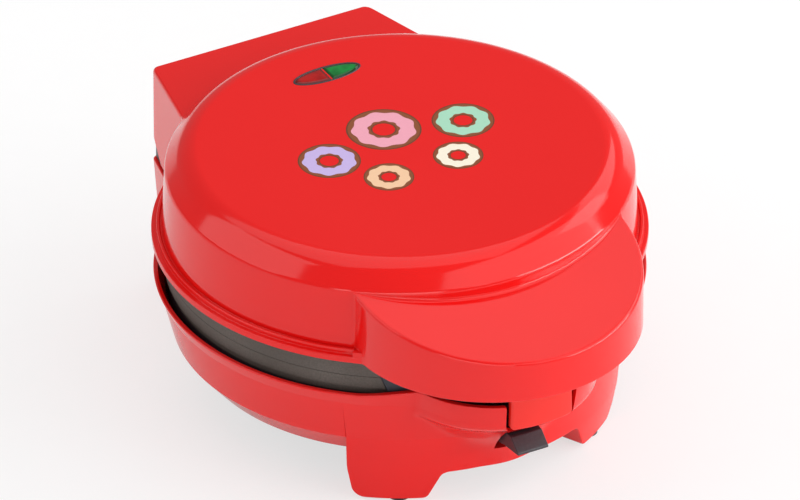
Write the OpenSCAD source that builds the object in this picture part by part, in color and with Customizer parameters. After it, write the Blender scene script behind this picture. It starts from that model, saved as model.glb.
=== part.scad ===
// Round donut maker with a hinged lid. Millimetres, +Z up, the handle points to -Y.
// The origin is on the table, under the middle of the whole machine.

/* [Body] */
// Radius of the two baking plates
plate_r = 112.4; // [100:0.1:135]
// Free ring between the plates and the wall of the base
plate_margin = 3.1; // [2.8:0.1:6]
// Wall thickness of the red mouldings
wall = 2.5; // [2:0.1:3]
// Height of the rim of the base above the table
base_h = 66.7; // [62:0.1:82]
// Open band between the rim of the base and the rim of the lid
jaw = 18.5; // [17.5:0.1:23]
// Height of the lid from its rim to its flat top
lid_h = 47.8; // [40:0.1:60]

/* [Lid] */
// How far the lid's shoulder stands inside the rim of the base
shoulder_in = 6; // [3:0.1:12]
// Height of the chamfer between shoulder and flat top
shoulder_drop = 11.8; // [6:0.1:16]
// Width of that chamfer
shoulder_run = 9.5; // [4:0.1:16]
// How much wider the lid's wall is at its foot than at its shoulder
skirt_flare = 1.5; // [0.5:0.1:4]
// Height of the stepped flange round the lid's rim
flange_h = 6; // [5:0.1:9]
// Height and depth of the step in that flange
flange_step = 2.6; // [1.5:0.1:3]

/* [Handle] */
// Distance from the middle of the lid to the front of the handle
handle_reach = 161.5; // [150:0.5:190]
// Radius of the handle's outline
handle_r = 72; // [60:0.5:80]
// How far the handle's top starts below the flat top
handle_drop = 12.6; // [8:0.1:16]
// Slope of the handle's top, as a fall over a run
handle_slope = 0.2; // [0.1:0.01:0.22]
// Depth of the finger recess under the handle
grip_depth = 9.8; // [9:0.1:11]

/* [Base] */
// Height of the underside of the base
floor_z = 24; // [20:0.5:26]
// Height of the crease where the wall turns in to the underside
belt_z = 37; // [33:0.5:40]
// Height of the lower edge of the front apron
apron_z = 16; // [10:0.5:20]
// Distance from the middle of the lid to the axis of the front chin
chin_y = 80; // [76:0.5:84]
// Radius of the chin at the rim
chin_r = 62.5; // [58:0.5:66]
// Width of the notch for the latch
notch_w = 38; // [34:0.5:44]
// Depth of that notch below the rim
notch_h = 11.4; // [6:0.1:12]
// Turn of the left front leg away from the front, in degrees
left_leg_turn = 29; // [26:0.5:34]
// Turn of the right front leg away from the front, in degrees
right_leg_turn = 34.5; // [26:0.5:36]
// How far the rubber feet stand out below the legs
foot_proud = 1; // [0.5:0.1:3]
// Radius of a rubber foot
foot_r = 5.5; // [4:0.1:6]

/* [Hinge] */
// Distance from the middle of the lid to the back of the hinge housings
block_reach = 140.7; // [132:0.1:160]
// Half the width of the hinge housings at the back
block_half = 58.8; // [52:0.1:66]
// How far the housings widen towards the front, as a run over a length
block_flare = 0.213; // [0:0.01:0.3]
// Distance of the pin's axis from the back of the housings
pin_inset = 4.7; // [4.6:0.1:6]
// Height of the pin's axis above the rim of the base
pin_rise = 6.7; // [6.5:0.1:8]
// How far the sides of the lid's housing hang below the lid's rim
cheek_drop = 14.7; // [10:0.1:15]
// Height of the slanting cut at the lower back edge of that housing
back_cut = 10.7; // [10:0.1:11]
// Radius of the hinge pins
pin_r = 2; // [1.5:0.05:2.5]
// Radius of the hinge knuckles
knuckle_r = 4.4; // [4:0.1:4.5]
// Radial clearance of a pin that turns in its bore
running = 0.05; // [0.02:0.01:0.1]
// Clearance between pieces that must not touch
gap = 0.3; // [0.2:0.05:0.4]

/* [Plates] */
// Height of the plates' parting line above the rim of the base
plate_stand = 7.6; // [7:0.1:9]
// Depth of the lower plate's edge
lower_band = 6.1; // [5:0.1:8]
// Depth of the upper plate's edge
upper_band = 11.2; // [10:0.1:11.3]
// Number of donut moulds in a plate
moulds = 6; // [6:6]
// Radius of the circle on which the moulds lie
mould_ring = 66; // [62:0.5:68]
// Radius of a donut, from its middle to its outside
donut_r = 30; // [26:0.5:30]
// Radius of a donut's section
donut_tube = 10.5; // [8:0.1:11]
// Depth of a mould below the plate's face
mould_depth = 12.5; // [11:0.1:12.8]
// Thickness of the cast plates
cast = 2.5; // [2:0.1:3]

/* [Heating] */
// Radius of the heating element's loop
element_ring = 66; // [60:0.5:68]
// Radius of the heating element's tube
element_r = 3.3; // [2.5:0.1:3.5]
// Sheet thickness of the heat pans
sheet = 0.8; // [0.5:0.1:1]
// Radius of the mains cord that the gland takes
cord_r = 3.3; // [2.5:0.1:4]

/* [Lamps] */
// Distance of the lamp window from the middle of the lid
lamp_y = 72.5; // [55:0.5:80]
// Length of the oval lamp window
lamp_w = 36; // [28:0.5:44]
// Width of the oval lamp window
lamp_d = 12.3; // [8:0.1:16]

/* [Hidden] */
$fn = 96;
eps = 0.01;

// Colours
RED = "#e02a2c";
BLACK = "#1c1c1f";
IRON = "#55514e";
STEEL = "#c9ccd0";
GREY = "#3a3a3c";

// Heights
lid_rim_z = base_h + jaw;
top_z = lid_rim_z + lid_h;
shoulder_z = top_z - shoulder_drop;
part_z = base_h + plate_stand;
pin_z = base_h + pin_rise;

// Radii and places in plan, about the middle of the lid
rim_r = plate_r + plate_margin + wall;
flange_r = rim_r + 0.5;
shoulder_r = rim_r - shoulder_in;
top_r = shoulder_r - shoulder_run;
skirt_r = shoulder_r + skirt_flare;
bead_r = rim_r - 3;
bead_z = base_h - 6.7;
belt_r = rim_r - 9;
apron_r = rim_r - 11;
floor_r = rim_r - 20;
cover_r = rim_r - 27.5;
lip_r = cover_r - 6.5;
handle_y = handle_reach - handle_r;
handle_z = top_z - handle_drop;
pin_y = block_reach - pin_inset;
lid_block_front = rim_r - 38;
base_block_front = cover_r + 1.5;
hinge_r = plate_r + plate_margin + 0.2;
gland_rim = 1.5;
gland_z = floor_z + 14;
gland_neck_r = cord_r + 1.7;
gland_flange_r = cord_r + 3.5;
cover_ring = cover_r - 3;
cover_turns = [0, 60, 120, 180, 240, 300];
centre_y = (handle_reach - block_reach - gland_rim) / 2;

// Hinge: stretches of x that the knuckles take on one side, and the screws of both housings
base_knuckles = [[20, 30], [44, 54]];
lid_knuckles = [[30.4, 43.6]];
knuckle_slots = [[30, 44]];
pin_head = 1.2;
hinge_screws_at = [[-12, pin_y - 12], [12, pin_y - 12]];
boss_r = 3.6;
base_boss_z = base_h - 9;
lid_boss_z = lid_rim_z + 10;
block_taper = 0.08;
block_rise = 0.058;
block_drop = 15.6;

// The slanting cut runs parallel to the tops of the cheeks, which close the ends of the hinge
cut_slope = 0.725;
cut_turn = atan(cut_slope);
cheek_in = 1.4;
cheek_r = pin_inset - cheek_in - 0.1;

// The stack behind each plate, as depths from the parting line
face_gap = 0.1;
skin = 3;
wire_r = 1.2;
locate = 3.7;
bump = mould_depth + cast;
element_d = bump + gap + element_r;
pan_top = bump + 1.4;
ledge_d = pan_top + sheet;
pan_d = ledge_d + 7.3;
ring_in = plate_r - 8.4;
ring_out = plate_r - 2;
ledge_in = ring_in - 4.5;
pan_r = ring_in - 4;
post_ring = plate_r - 5.4;
post_r = 3.2;
pilot = 9;
screw_r = 1.5;
post_turns = [45, 135, 225, 315];
clip_turns = [70, 110];
terminal_turns = [70, 110];
terminal_d = element_d + 16;
terminal_x = element_ring * cos(terminal_turns[0]);
terminal_y = element_ring * sin(terminal_turns[0]);
mould_turns = [for (i = [0:moulds - 1]) i * 360 / moulds];

// Front release pieces
pad_half = 8.25;
slot_half = pad_half + 1.2;
ear_t = 3;
ear_in = slot_half + 0.5;
lever_y = plate_r + 0.1;
lever_z = base_h - 16.7;
lever_pin_r = 1.5;
barrel_r = 3.4;
nose_half = 7.2;
wedge_side = [[-1.5, 0], [-1.5, -10.5], [-6.4, -9], [-12.9, -8.6], [-20.4, -13.1], [-20.4, -15.3],
    [-5.3, -17], [-1.5, -18], [1.5, -18], [1.5, 0]];
nose_side = [[-1.5, 0], [-3.6, 13.4], [3.4, 13.4], [3.4, 11.2], [-1, 11.2], [1.5, 0]];
slide_depth = upper_band + 0.9;
slide_t = 2.4;
slide_travel = 3;

// Latch
latch_half = notch_w / 2 - 2.5;
latch_t = 3;
latch_r = chin_r - 1.2;
latch_y = chin_y + latch_r - latch_t / 2;
latch_z = lid_rim_z + 5.3;
latch_pin_r = 1.25;

// Chin: the radius at its foot and the cove's points, as steps out from the foot and down from the rim
chin_foot = apron_r - chin_y + 1.2;
chin_draft = 0.3;
chin_lean = 1.5;
cove = [[4.6, 36], [12.7, 25.7], [21, 18.7]];

// Finger guard: half its width at the foot, and how much wider it is above
guard_half = 58;
guard_flare = 8;
guard_t = 1.5;

// Legs
leg_turns = [-90 - left_leg_turn, -90 + right_leg_turn];
leg_out = apron_r;
leg_in = cover_r + 1;
leg_mid = (leg_out + leg_in) / 2;
leg_foot = 26;
leg_top = 46;
leg_bend = 12;
leg_draft = 2;
leg_set = 0.1;
leg_half_turn = asin(leg_top / 2 / belt_r);
back_leg_x = block_half - 14;
back_leg_y = block_reach - 15;
foot_depth = 3;
feet = concat([for (a = leg_turns) leg_mid * [cos(a), sin(a)]],
    [[-back_leg_x, back_leg_y], [back_leg_x, back_leg_y]]);

// Everything is drawn about the middle of the lid and moved to the machine's own origin
module placed() { translate([0, centre_y, 0]) children(); }

// A body of revolution between heights, from points of radius and height
module turned(points) { rotate_extrude() polygon(points); }

// The stack behind the lower plate hangs down from the parting line, the upper one is its mirror image
module below() { translate([0, 0, part_z]) mirror([0, 0, 1]) children(); }
module above() { translate([0, 0, part_z]) children(); }

// An ellipse as a polygon
function oval(w, d) = [for (a = [0:10:350]) [w / 2 * cos(a), d / 2 * sin(a)]];

// Points of a cubic curve from a to d, led by b and c
function curve(a, b, c, d, n = 12) = [for (i = [0:n]) let (t = i / n, s = 1 - t)
    s * s * s * a + 3 * s * s * t * b + 3 * s * t * t * c + t * t * t * d];

function unit(v) = v / norm(v);

// A round wire along points, as rings of corners square to the path
module wire(points, r, sides = 8) {
    n = len(points);
    rings = [for (i = [0:n - 1]) let (
            t = unit(points[min(i + 1, n - 1)] - points[max(i - 1, 0)]),
            u = unit(cross(t, abs(t.z) < 0.8 ? [0, 0, 1] : [1, 0, 0])),
            v = cross(u, t))
        for (k = [0:sides - 1]) points[i] + r * (cos(k * 360 / sides) * u + sin(k * 360 / sides) * v)];
    polyhedron(rings, concat(
        [[for (k = [0:sides - 1]) k], [for (k = [sides - 1:-1:0]) (n - 1) * sides + k]],
        [for (i = [0:n - 2]) for (k = [0:sides - 1]) let (m = (k + 1) % sides)
            [i * sides + k, (i + 1) * sides + k, (i + 1) * sides + m, i * sides + m]]));
}

// A coil of wire along +Z
module coil(r, wire_r, length, turns, steps = 12) {
    wire([for (i = [0:turns * steps]) [r * cos(i * 360 / steps), r * sin(i * 360 / steps),
        length * i / (turns * steps)]], wire_r, 6);
}

// A pan-head screw that points along +Z from under its head
module screw(r, length) {
    difference() {
        union() {
            cylinder(r = r, h = length, $fn = 32);
            translate([0, 0, -1.6]) cylinder(r = 2 * r, h = 1.6, $fn = 32);
        }
        for (a = [0, 90]) rotate(a) translate([-r, -0.3, -1.6 - eps]) cube([2 * r, 0.6, 0.9]);
    }
}

// Plan of the hinge housings from a front line to the back, drawn in by an inset, its sides by more
module block_plan(inset, front, narrow = 0) {
    half_back = block_half - inset - narrow;
    half_front = half_back + block_flare * (block_reach - inset - front);
    polygon([[-half_back, block_reach - inset], [half_back, block_reach - inset],
        [half_front, front], [-half_front, front]]);
}

// ---- Lid ----

module dome_outer() {
    step_z = lid_rim_z + flange_h;
    turned([[0, lid_rim_z], [flange_r, lid_rim_z], [flange_r, step_z - flange_step],
        [flange_r - flange_step, step_z - flange_step], [flange_r - flange_step, step_z],
        [skirt_r, step_z], [shoulder_r, shoulder_z], [top_r, top_z], [0, top_z]]);
}

module dome_void() {
    step_z = lid_rim_z + flange_h - flange_step - wall;
    turned([[0, lid_rim_z - 1], [flange_r - wall, lid_rim_z - 1], [flange_r - wall, step_z],
        [skirt_r - wall, step_z + wall], [shoulder_r - wall, shoulder_z - wall / 2],
        [top_r - wall / 2, top_z - wall], [0, top_z - wall]]);
}

// The handle is a round outline cut off by a sloping top
module handle_form(inset, low_z) {
    back = handle_y - 4 - inset;
    fall = handle_slope * (handle_reach - back);
    intersection() {
        translate([0, -handle_y, low_z]) cylinder(r = handle_r - inset, h = top_z - low_z);
        rotate([90, 0, 90]) translate([0, 0, -handle_r]) linear_extrude(2 * handle_r)
            polygon([[-handle_reach, low_z], [-back, low_z], [-back, handle_z - inset],
                [-handle_reach, handle_z - inset - fall]]);
    }
}

// The lid's hinge housing, its back lower edge cut away so that the lid can tip back
module lid_block_form(inset, low_z) {
    rise = block_rise * (block_reach - lid_block_front);
    back_z = top_z - block_drop - inset;
    intersection() {
        translate([0, 0, low_z]) linear_extrude(top_z - low_z) block_plan(inset, lid_block_front);
        rotate([90, 0, 90]) translate([0, 0, -2 * block_half]) linear_extrude(4 * block_half)
            polygon([[lid_block_front, low_z], [block_reach - back_cut / cut_slope, low_z],
                [block_reach, low_z + back_cut], [block_reach, back_z], [lid_block_front, back_z + rise]]);
    }
}

// Its hollow is open below and behind the slanting cut
module lid_block_void(low_z) {
    rise = block_rise * (block_reach - lid_block_front);
    back_z = top_z - block_drop - wall;
    intersection() {
        translate([0, 0, low_z - 1]) linear_extrude(top_z - low_z) block_plan(wall, lid_block_front);
        rotate([90, 0, 90]) translate([0, 0, -2 * block_half]) linear_extrude(4 * block_half)
            polygon([[lid_block_front, low_z - 1], [block_reach - wall, low_z - 1],
                [block_reach - wall, back_z], [lid_block_front, back_z + rise]]);
    }
}

module lid_shell() color(RED) placed() {
    low = lid_rim_z - cheek_drop;
    difference() {
        union() {
            dome_outer();
            handle_form(0, lid_rim_z);
            difference() {
                lid_block_form(0, low);
                translate([0, 0, low - 1]) cylinder(r = flange_r - wall, h = lid_rim_z - low + 1 + eps);
            }
        }
        difference() {
            dome_void();
            for (a = post_turns) rotate(a) translate([post_ring, 0, part_z + pan_d])
                cylinder(r = post_r, h = top_z, $fn = 48);
        }
        difference() {
            handle_form(wall, lid_rim_z - 1);
            translate([0, 0, lid_rim_z - 2]) cylinder(r = skirt_r, h = lid_h + 4);
            translate([0, 0, lid_rim_z - 2]) cylinder(r = flange_r, h = flange_h + 2);
        }
        difference() {
            lid_block_void(low);
            for (p = hinge_screws_at) translate([p.x, p.y, lid_boss_z])
                cylinder(r = boss_r, h = lid_h, $fn = 48);
        }
        for (a = post_turns) rotate(a) translate([post_ring, 0, part_z + pan_d - eps])
            cylinder(r = screw_r + running, h = pilot, $fn = 32);
        for (p = hinge_screws_at) translate([p.x, p.y, lid_boss_z - eps])
            cylinder(r = screw_r + running, h = pilot, $fn = 32);
        translate([0, lamp_y, top_z - wall - 1]) linear_extrude(wall + 2)
            polygon(oval(lamp_w + 2, lamp_d + 2));
        translate([-slot_half, -flange_r - 1, part_z + slide_depth - 0.6])
            cube([2 * slot_half, 12, slide_t + 1.2]);
    }
}

module lens_bezel() color(BLACK) placed() translate([0, lamp_y, top_z - wall - 1]) difference() {
    union() {
        linear_extrude(wall + 1.3) polygon(oval(lamp_w + 1.8, lamp_d + 1.8));
        linear_extrude(1) polygon(oval(lamp_w + 5, lamp_d + 5));
    }
    translate([0, 0, -1]) linear_extrude(wall + 4) polygon(oval(lamp_w + 0.2, lamp_d + 0.2));
}

// Half of the oval lens: side is -1 for the left half and 1 for the right
module lens_half(side) translate([0, lamp_y, top_z - 3]) intersection() {
    linear_extrude(3.6) polygon(oval(lamp_w, lamp_d));
    translate([side * (lamp_w / 4 + 0.1), 0, 2]) cube([lamp_w / 2, lamp_d + 1, 8], center = true);
}

module power_lens() color("#a31c16") placed() lens_half(-1);

module ready_lens() color("#1f7a3d") placed() lens_half(1);

module lamp_holder() color(BLACK) placed() translate([0, lamp_y, 0]) difference() {
    translate([-lamp_w / 2 - 4, -8, top_z - 13]) cube([lamp_w + 8, 16, 9.5]);
    for (x = [-1, 1]) translate([x * (lamp_w / 4 + 0.75) - lamp_w / 4 + 0.25, -6.5, top_z - 12])
        cube([lamp_w / 2 - 0.5, 13, 10]);
}

// Two neon lamps lying on the floor of the holder
module signal_lamps() color("#e8b070") placed() for (x = [-1, 1])
    translate([x * (lamp_w / 4 + 0.75), lamp_y - 5.5, top_z - 9.5]) rotate([-90, 0, 0]) {
        cylinder(r = 2.5, h = 9, $fn = 32);
        translate([0, 0, 9]) sphere(r = 2.5, $fn = 32);
    }

// The plate that closes the handle from below, with two ears for the latch pin
module handle_plate() color(BLACK) placed() {
    z = lid_rim_z + grip_depth;
    ear_x = latch_half + 0.6;
    difference() {
        union() {
            intersection() {
                translate([0, -handle_y, z]) cylinder(r = handle_r - wall - gap, h = 2);
                translate([-handle_r, -handle_reach, z]) cube([2 * handle_r, handle_r + 3 - wall, 2]);
            }
            for (x = [-ear_x - ear_t, ear_x]) translate([x, -latch_y - 3.5, latch_z - 3.5])
                cube([ear_t, 7, z - latch_z + 4]);
        }
        translate([0, 0, z - 1]) cylinder(r = flange_r - flange_step + gap, h = 4);
        translate([-handle_r, -latch_y, latch_z]) rotate([0, 90, 0])
            cylinder(r = latch_pin_r, h = 2 * handle_r, $fn = 32);
    }
}

// A curved wall that keeps fingers off the hot edge of the plates
module finger_guard() color("#2b2f38") placed() {
    r = plate_r + 2 * gap;
    low = base_h - 0.2;
    cut = 2;
    high = lid_rim_z + flange_h - flange_step - wall;
    intersection() {
        difference() {
            cylinder(r = r + guard_t, h = high);
            translate([0, 0, -1]) cylinder(r = r, h = high + 2);
        }
        translate([0, -r / 2, 0]) rotate([90, 0, 0]) linear_extrude(r)
            polygon([[-guard_half, low], [guard_half, low], [guard_half + cut, low + cut],
                [guard_half + guard_flare, high], [-guard_half - guard_flare, high],
                [-guard_half - cut, low + cut]]);
    }
}

// The tongue that holds the lid shut, hung on its pin under the handle
module latch() color(RED) placed() difference() {
    union() {
        intersection() {
            translate([0, -chin_y, 0]) difference() {
                cylinder(r = latch_r, h = latch_z);
                translate([0, 0, -1]) cylinder(r = latch_r - latch_t, h = top_z);
            }
            translate([-latch_half, -handle_reach, base_h - notch_h + 0.6])
                cube([2 * latch_half, 40, latch_z - base_h + notch_h - 0.6]);
        }
        translate([-latch_half, -latch_y, latch_z]) rotate([0, 90, 0])
            cylinder(r = 3, h = 2 * latch_half, $fn = 48);
        translate([-latch_half + 2, -latch_y + 0.6, base_h - notch_h + 3]) rotate([0, 90, 0])
            cylinder(r = 1.6, h = 2 * latch_half - 4, $fn = 32);
    }
    translate([-handle_r, -latch_y, latch_z]) rotate([0, 90, 0])
        cylinder(r = latch_pin_r + running, h = 2 * handle_r, $fn = 32);
}

module latch_pin() color(STEEL) placed() {
    half = latch_half + 0.6 + ear_t;
    translate([-half, -latch_y, latch_z]) rotate([0, 90, 0])
        cylinder(r = latch_pin_r, h = 2 * half, $fn = 32);
}

// ---- Hinge ----

// Cylinders about the pin's axis over stretches of x, on both sides
module about_pin(stretches, r) {
    for (side = [0, 1]) mirror([side, 0, 0]) for (s = stretches)
        translate([s[0], pin_y, pin_z]) rotate([0, 90, 0]) cylinder(r = r, h = s[1] - s[0], $fn = 48);
}

// The insert in the lid's housing; its knuckles turn on the pins
module lid_hinge_block() color(BLACK) placed() difference() {
    union() {
        difference() {
            translate([0, 0, pin_z + gap]) linear_extrude(lid_boss_z - pin_z - gap)
                block_plan(wall + gap, lid_block_front);
            translate([0, 0, pin_z]) cylinder(r = hinge_r, h = lid_h);
            translate([-2 * block_half, pin_y - 1, pin_z - 1]) cube([4 * block_half, 20, lid_h]);
            translate([-block_half, pin_y - 6, pin_z - 1]) cube([2 * block_half, 20, 7.5]);
        }
        about_pin(lid_knuckles, knuckle_r);
        for (side = [0, 1]) mirror([side, 0, 0]) for (s = lid_knuckles)
            translate([s[0], pin_y - 8, pin_z + gap]) cube([s[1] - s[0], 8, 9]);
    }
    about_pin([[0, 80]], pin_r + running);
    for (p = hinge_screws_at) translate([p.x, p.y, pin_z]) {
        cylinder(r = screw_r + 0.2, h = lid_h, $fn = 32);
        cylinder(r = 2 * screw_r + 0.4, h = 12, $fn = 32);
    }
}

module lid_hinge_screws() color(STEEL) placed() for (p = hinge_screws_at)
    translate([p.x, p.y, pin_z + 12]) screw(screw_r, lid_boss_z + 7 - pin_z - 12);

// The ends of the base's insert, which stand on the rim of its housing and close the hinge
module hinge_cheeks() {
    low = base_h + gap;
    slant_y = pin_y - cheek_r * sin(cut_turn);
    slant_z = pin_z + cheek_r * cos(cut_turn);
    intersection() {
        translate([0, 0, low]) linear_extrude(2 * pin_rise) difference() {
            block_plan(cheek_in, base_block_front);
            translate([-base_knuckles[1][1], 0]) square([2 * base_knuckles[1][1], 2 * block_reach]);
        }
        rotate([90, 0, 90]) translate([0, 0, -2 * block_half]) linear_extrude(4 * block_half) {
            translate([pin_y, pin_z]) circle(r = cheek_r, $fn = 48);
            polygon([[pin_y + cheek_r, low], [pin_y + cheek_r, pin_z], [pin_y, pin_z], [slant_y, slant_z],
                [slant_y - (slant_z - low) / cut_slope, low]]);
        }
    }
}

// The insert in the base's housing; its knuckles hold the pins still
module base_hinge_block() color(BLACK) placed() difference() {
    union() {
        difference() {
            translate([0, 0, base_boss_z]) linear_extrude(pin_z - gap - base_boss_z)
                block_plan(wall + gap, base_block_front + wall + gap, block_taper * (base_h - base_boss_z));
            cylinder(r = hinge_r, h = top_z);
            about_pin(knuckle_slots, knuckle_r + gap);
        }
        about_pin(base_knuckles, knuckle_r);
        hinge_cheeks();
    }
    about_pin([[0, base_knuckles[1][1]]], pin_r + running);
    about_pin([[0, base_knuckles[0][0]]], pin_r + pin_head + gap);
    for (p = hinge_screws_at) translate([p.x, p.y, base_boss_z - 1]) {
        cylinder(r = screw_r + 0.2, h = 30, $fn = 32);
        translate([0, 0, 8]) cylinder(r = 2 * screw_r + 0.4, h = 12, $fn = 32);
    }
}

module base_hinge_screws() color(STEEL) placed() for (p = hinge_screws_at)
    translate([p.x, p.y, base_boss_z + 7]) mirror([0, 0, 1]) screw(screw_r, 14);

// Each pin is pushed outward from the middle, and its head stays at the inner knuckle
module hinge_pins() color(STEEL) placed() {
    inner_end = base_knuckles[0][0];
    about_pin([[inner_end - pin_head, base_knuckles[1][1] - gap]], pin_r);
    about_pin([[inner_end - pin_head, inner_end]], pin_r + pin_head);
}

// ---- Plates and heating, drawn with depth along +Z from the parting line ----

module stack_plate(band) {
    difference() {
        union() {
            translate([0, 0, face_gap]) cylinder(r = plate_r, h = skin);
            difference() {
                translate([0, 0, face_gap]) cylinder(r = plate_r, h = band - face_gap);
                cylinder(r = plate_r - 3.5, h = band + 1);
            }
            difference() {
                cylinder(r = plate_r - 1.5, h = band + locate);
                translate([0, 0, -1]) cylinder(r = plate_r - 5.5, h = band + locate + 2);
                translate([0, 0, -1]) cylinder(r = plate_r, h = 1 + face_gap);
            }
            for (a = mould_turns) rotate(a) translate([mould_ring, 0, 0]) intersection() {
                union() {
                    rotate_extrude() translate([donut_r - donut_tube, mould_depth - donut_tube])
                        circle(r = donut_tube + cast, $fn = 48);
                    cylinder(r = donut_r - donut_tube, h = bump);
                    translate([0, 0, face_gap]) cylinder(r = donut_r + cast, h = mould_depth - donut_tube);
                }
                translate([-50, -50, face_gap]) cube([100, 100, bump]);
            }
            for (a = clip_turns) rotate(a) translate([plate_r - 4, -5, band + 1.8]) cube([5, 10, 1.6]);
        }
        for (a = mould_turns) rotate(a) translate([mould_ring, 0, 0]) {
            rotate_extrude() translate([donut_r - donut_tube, mould_depth - donut_tube])
                circle(r = donut_tube, $fn = 48);
            rotate_extrude() translate([donut_r - 2 * donut_tube, -1])
                square([2 * donut_tube, 1 + mould_depth - donut_tube]);
        }
    }
}

module stack_clips(band) for (a = clip_turns) rotate(a) {
    translate([plate_r + 1.2, -6, band + 0.4]) cube([1.2, 12, 12]);
    translate([plate_r - 1, -6, band + 0.4]) cube([2.2 + eps, 12, 1.1]);
    translate([ring_out, -6, band + 11.2]) cube([plate_r + 1.2 + eps - ring_out, 12, 1.2]);
}

// The ring that carries the pan and the plate, with holes for its screws
module stack_carrier(band) difference() {
    high = band + locate + 0.1;
    rotate_extrude() polygon([[ring_in, high], [ring_out, high], [ring_out, pan_d - 4],
        [ring_out - 2.4, pan_d], [ring_in, pan_d], [ring_in, ledge_d + 2], [ledge_in, ledge_d + 2],
        [ledge_in, ledge_d], [ring_in, ledge_d]]);
    for (a = post_turns) rotate(a) translate([post_ring, 0, 0]) {
        cylinder(r = screw_r + 0.2, h = 60, $fn = 32);
        translate([0, 0, high - 1]) cylinder(r = 2 * screw_r + 0.1, h = 3, $fn = 32);
    }
    translate([-slot_half, -plate_r - 1, high - 1]) cube([2 * slot_half, 12, 2.9]);
}

module stack_screws(band) for (a = post_turns) rotate(a)
    translate([post_ring, 0, band + locate + 2.1]) screw(screw_r, pan_d - band - locate + 5);

// A pressed sheet pan with a flat flange, two holes for the element's ends
module stack_pan() difference() {
    rotate_extrude() polygon([[0, pan_d - sheet], [pan_r - sheet - 2, pan_d - sheet],
        [pan_r - sheet, pan_top], [ring_in - 0.4, pan_top], [ring_in - 0.4, ledge_d],
        [ledge_in - gap, ledge_d], [ledge_in - gap - 2, pan_d], [0, pan_d]]);
    for (a = terminal_turns) rotate(a) translate([element_ring, 0, 0])
        cylinder(r = element_r + 0.9, h = 60, $fn = 32);
}

// A tubular element: nearly a full turn, then its two ends go out through the pan
module stack_element() {
    translate([0, 0, element_d]) rotate(terminal_turns[1]) rotate_extrude(angle = 320)
        translate([element_ring, 0]) circle(r = element_r, $fn = 32);
    for (a = terminal_turns) rotate(a) translate([element_ring, 0, element_d]) {
        translate([0, 0, 0.2 - element_r]) cylinder(r = element_r + 0.4, h = 11 + element_r, $fn = 32);
        translate([0, 0, 11]) cylinder(r = wire_r, h = terminal_d - element_d - 11, $fn = 32);
    }
}

module stack_element_clips() for (a = [30, 150, 270]) rotate(a) translate([element_ring, 0, element_d]) {
    difference() {
        rotate([90, 0, 0]) translate([0, 0, -3]) cylinder(r = element_r + 0.8, h = 6, $fn = 48);
        rotate([90, 0, 0]) translate([0, 0, -4]) cylinder(r = element_r + 0.1, h = 8, $fn = 48);
    }
    translate([element_r + 0.2, -3, 0]) cube([0.8, 6, pan_d - sheet - element_d]);
    translate([element_r + 0.2, -3, pan_d - 2 * sheet - element_d]) cube([6, 6, sheet]);
}

module upper_plate() color(IRON) placed() above() difference() {
    union() {
        stack_plate(upper_band);
        translate([-5, -ring_in - 1, skin]) cube([10, 2, slide_depth + slide_t - skin + 1.8]);
        translate([-5, -ring_in + 1 - eps, slide_depth + slide_t + gap]) cube([10, 1.8, 1.5]);
    }
    translate([-slot_half - 0.5, -plate_r + 1, upper_band - 0.1]) cube([2 * slot_half + 1, 6, 10]);
}

module upper_plate_clips() color(STEEL) placed() above() stack_clips(upper_band);
module upper_carrier() color(BLACK) placed() above() stack_carrier(upper_band);
module upper_carrier_screws() color(STEEL) placed() above() stack_screws(upper_band);
module upper_heat_pan() color(STEEL) placed() above() stack_pan();
module upper_element() color("#8c8f94") placed() above() stack_element();
module upper_element_clips() color(STEEL) placed() above() stack_element_clips();

module lower_plate() color(IRON) placed() below() difference() {
    union() {
        stack_plate(lower_band);
        translate([-slot_half, -plate_r + 1.5, lower_band]) cube([2 * slot_half, 4, 10.2]);
    }
    translate([-slot_half + 1, -plate_r - 1, lower_band + 2.6]) cube([2 * slot_half - 2, 8, 4.6]);
}

module lower_plate_clips() color(STEEL) placed() below() stack_clips(lower_band);

// The lower ring also has a notch for the plate's lug and two ears for the lever's pin
module lower_carrier() color(BLACK) placed() difference() {
    union() {
        below() difference() {
            stack_carrier(lower_band);
            translate([-ear_in, -plate_r - 1, 0]) cube([2 * ear_in, 7.5, pan_d + 1]);
        }
        for (x = [-ear_in - ear_t, ear_in]) translate([x, -lever_y - 3, lever_z - 3.5])
            cube([ear_t, 8.5, 10.5]);
    }
    translate([-20, -lever_y, lever_z]) rotate([0, 90, 0]) cylinder(r = lever_pin_r, h = 40, $fn = 32);
}

module lower_carrier_screws() color(STEEL) placed() below() stack_screws(lower_band);
module lower_heat_pan() color(STEEL) placed() below() stack_pan();
module lower_element() color("#8c8f94") placed() below() stack_element();
module lower_element_clips() color(STEEL) placed() below() stack_element_clips();

// ---- Release pieces ----

// Pushed in at the wedge, the lever turns on its pin and its nose leaves the lower plate's lug
module lower_release_lever() color(BLACK) placed() difference() {
    union() {
        translate([-pad_half, -lever_y, lever_z]) rotate([90, 0, 90]) linear_extrude(2 * pad_half)
            polygon(wedge_side);
        translate([-nose_half, -lever_y, lever_z]) rotate([90, 0, 90]) linear_extrude(2 * nose_half)
            polygon(nose_side);
        translate([gap - ear_in, -lever_y, lever_z]) rotate([0, 90, 0])
            cylinder(r = barrel_r, h = 2 * (ear_in - gap), $fn = 48);
    }
    translate([-20, -lever_y, lever_z]) rotate([0, 90, 0])
        cylinder(r = lever_pin_r + running, h = 40, $fn = 32);
    translate([-4, -lever_y, lever_z]) rotate([0, 90, 0]) cylinder(r = 4.2, h = 8, $fn = 32);
}

module lever_pin() color(STEEL) placed() translate([-ear_in - ear_t, -lever_y, lever_z]) rotate([0, 90, 0])
    cylinder(r = lever_pin_r, h = 2 * (ear_in + ear_t), $fn = 32);

module lever_spring() color(STEEL) placed() translate([-3, -lever_y, lever_z]) rotate([0, 90, 0])
    coil(2.4, 0.4, 6, 5);

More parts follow.
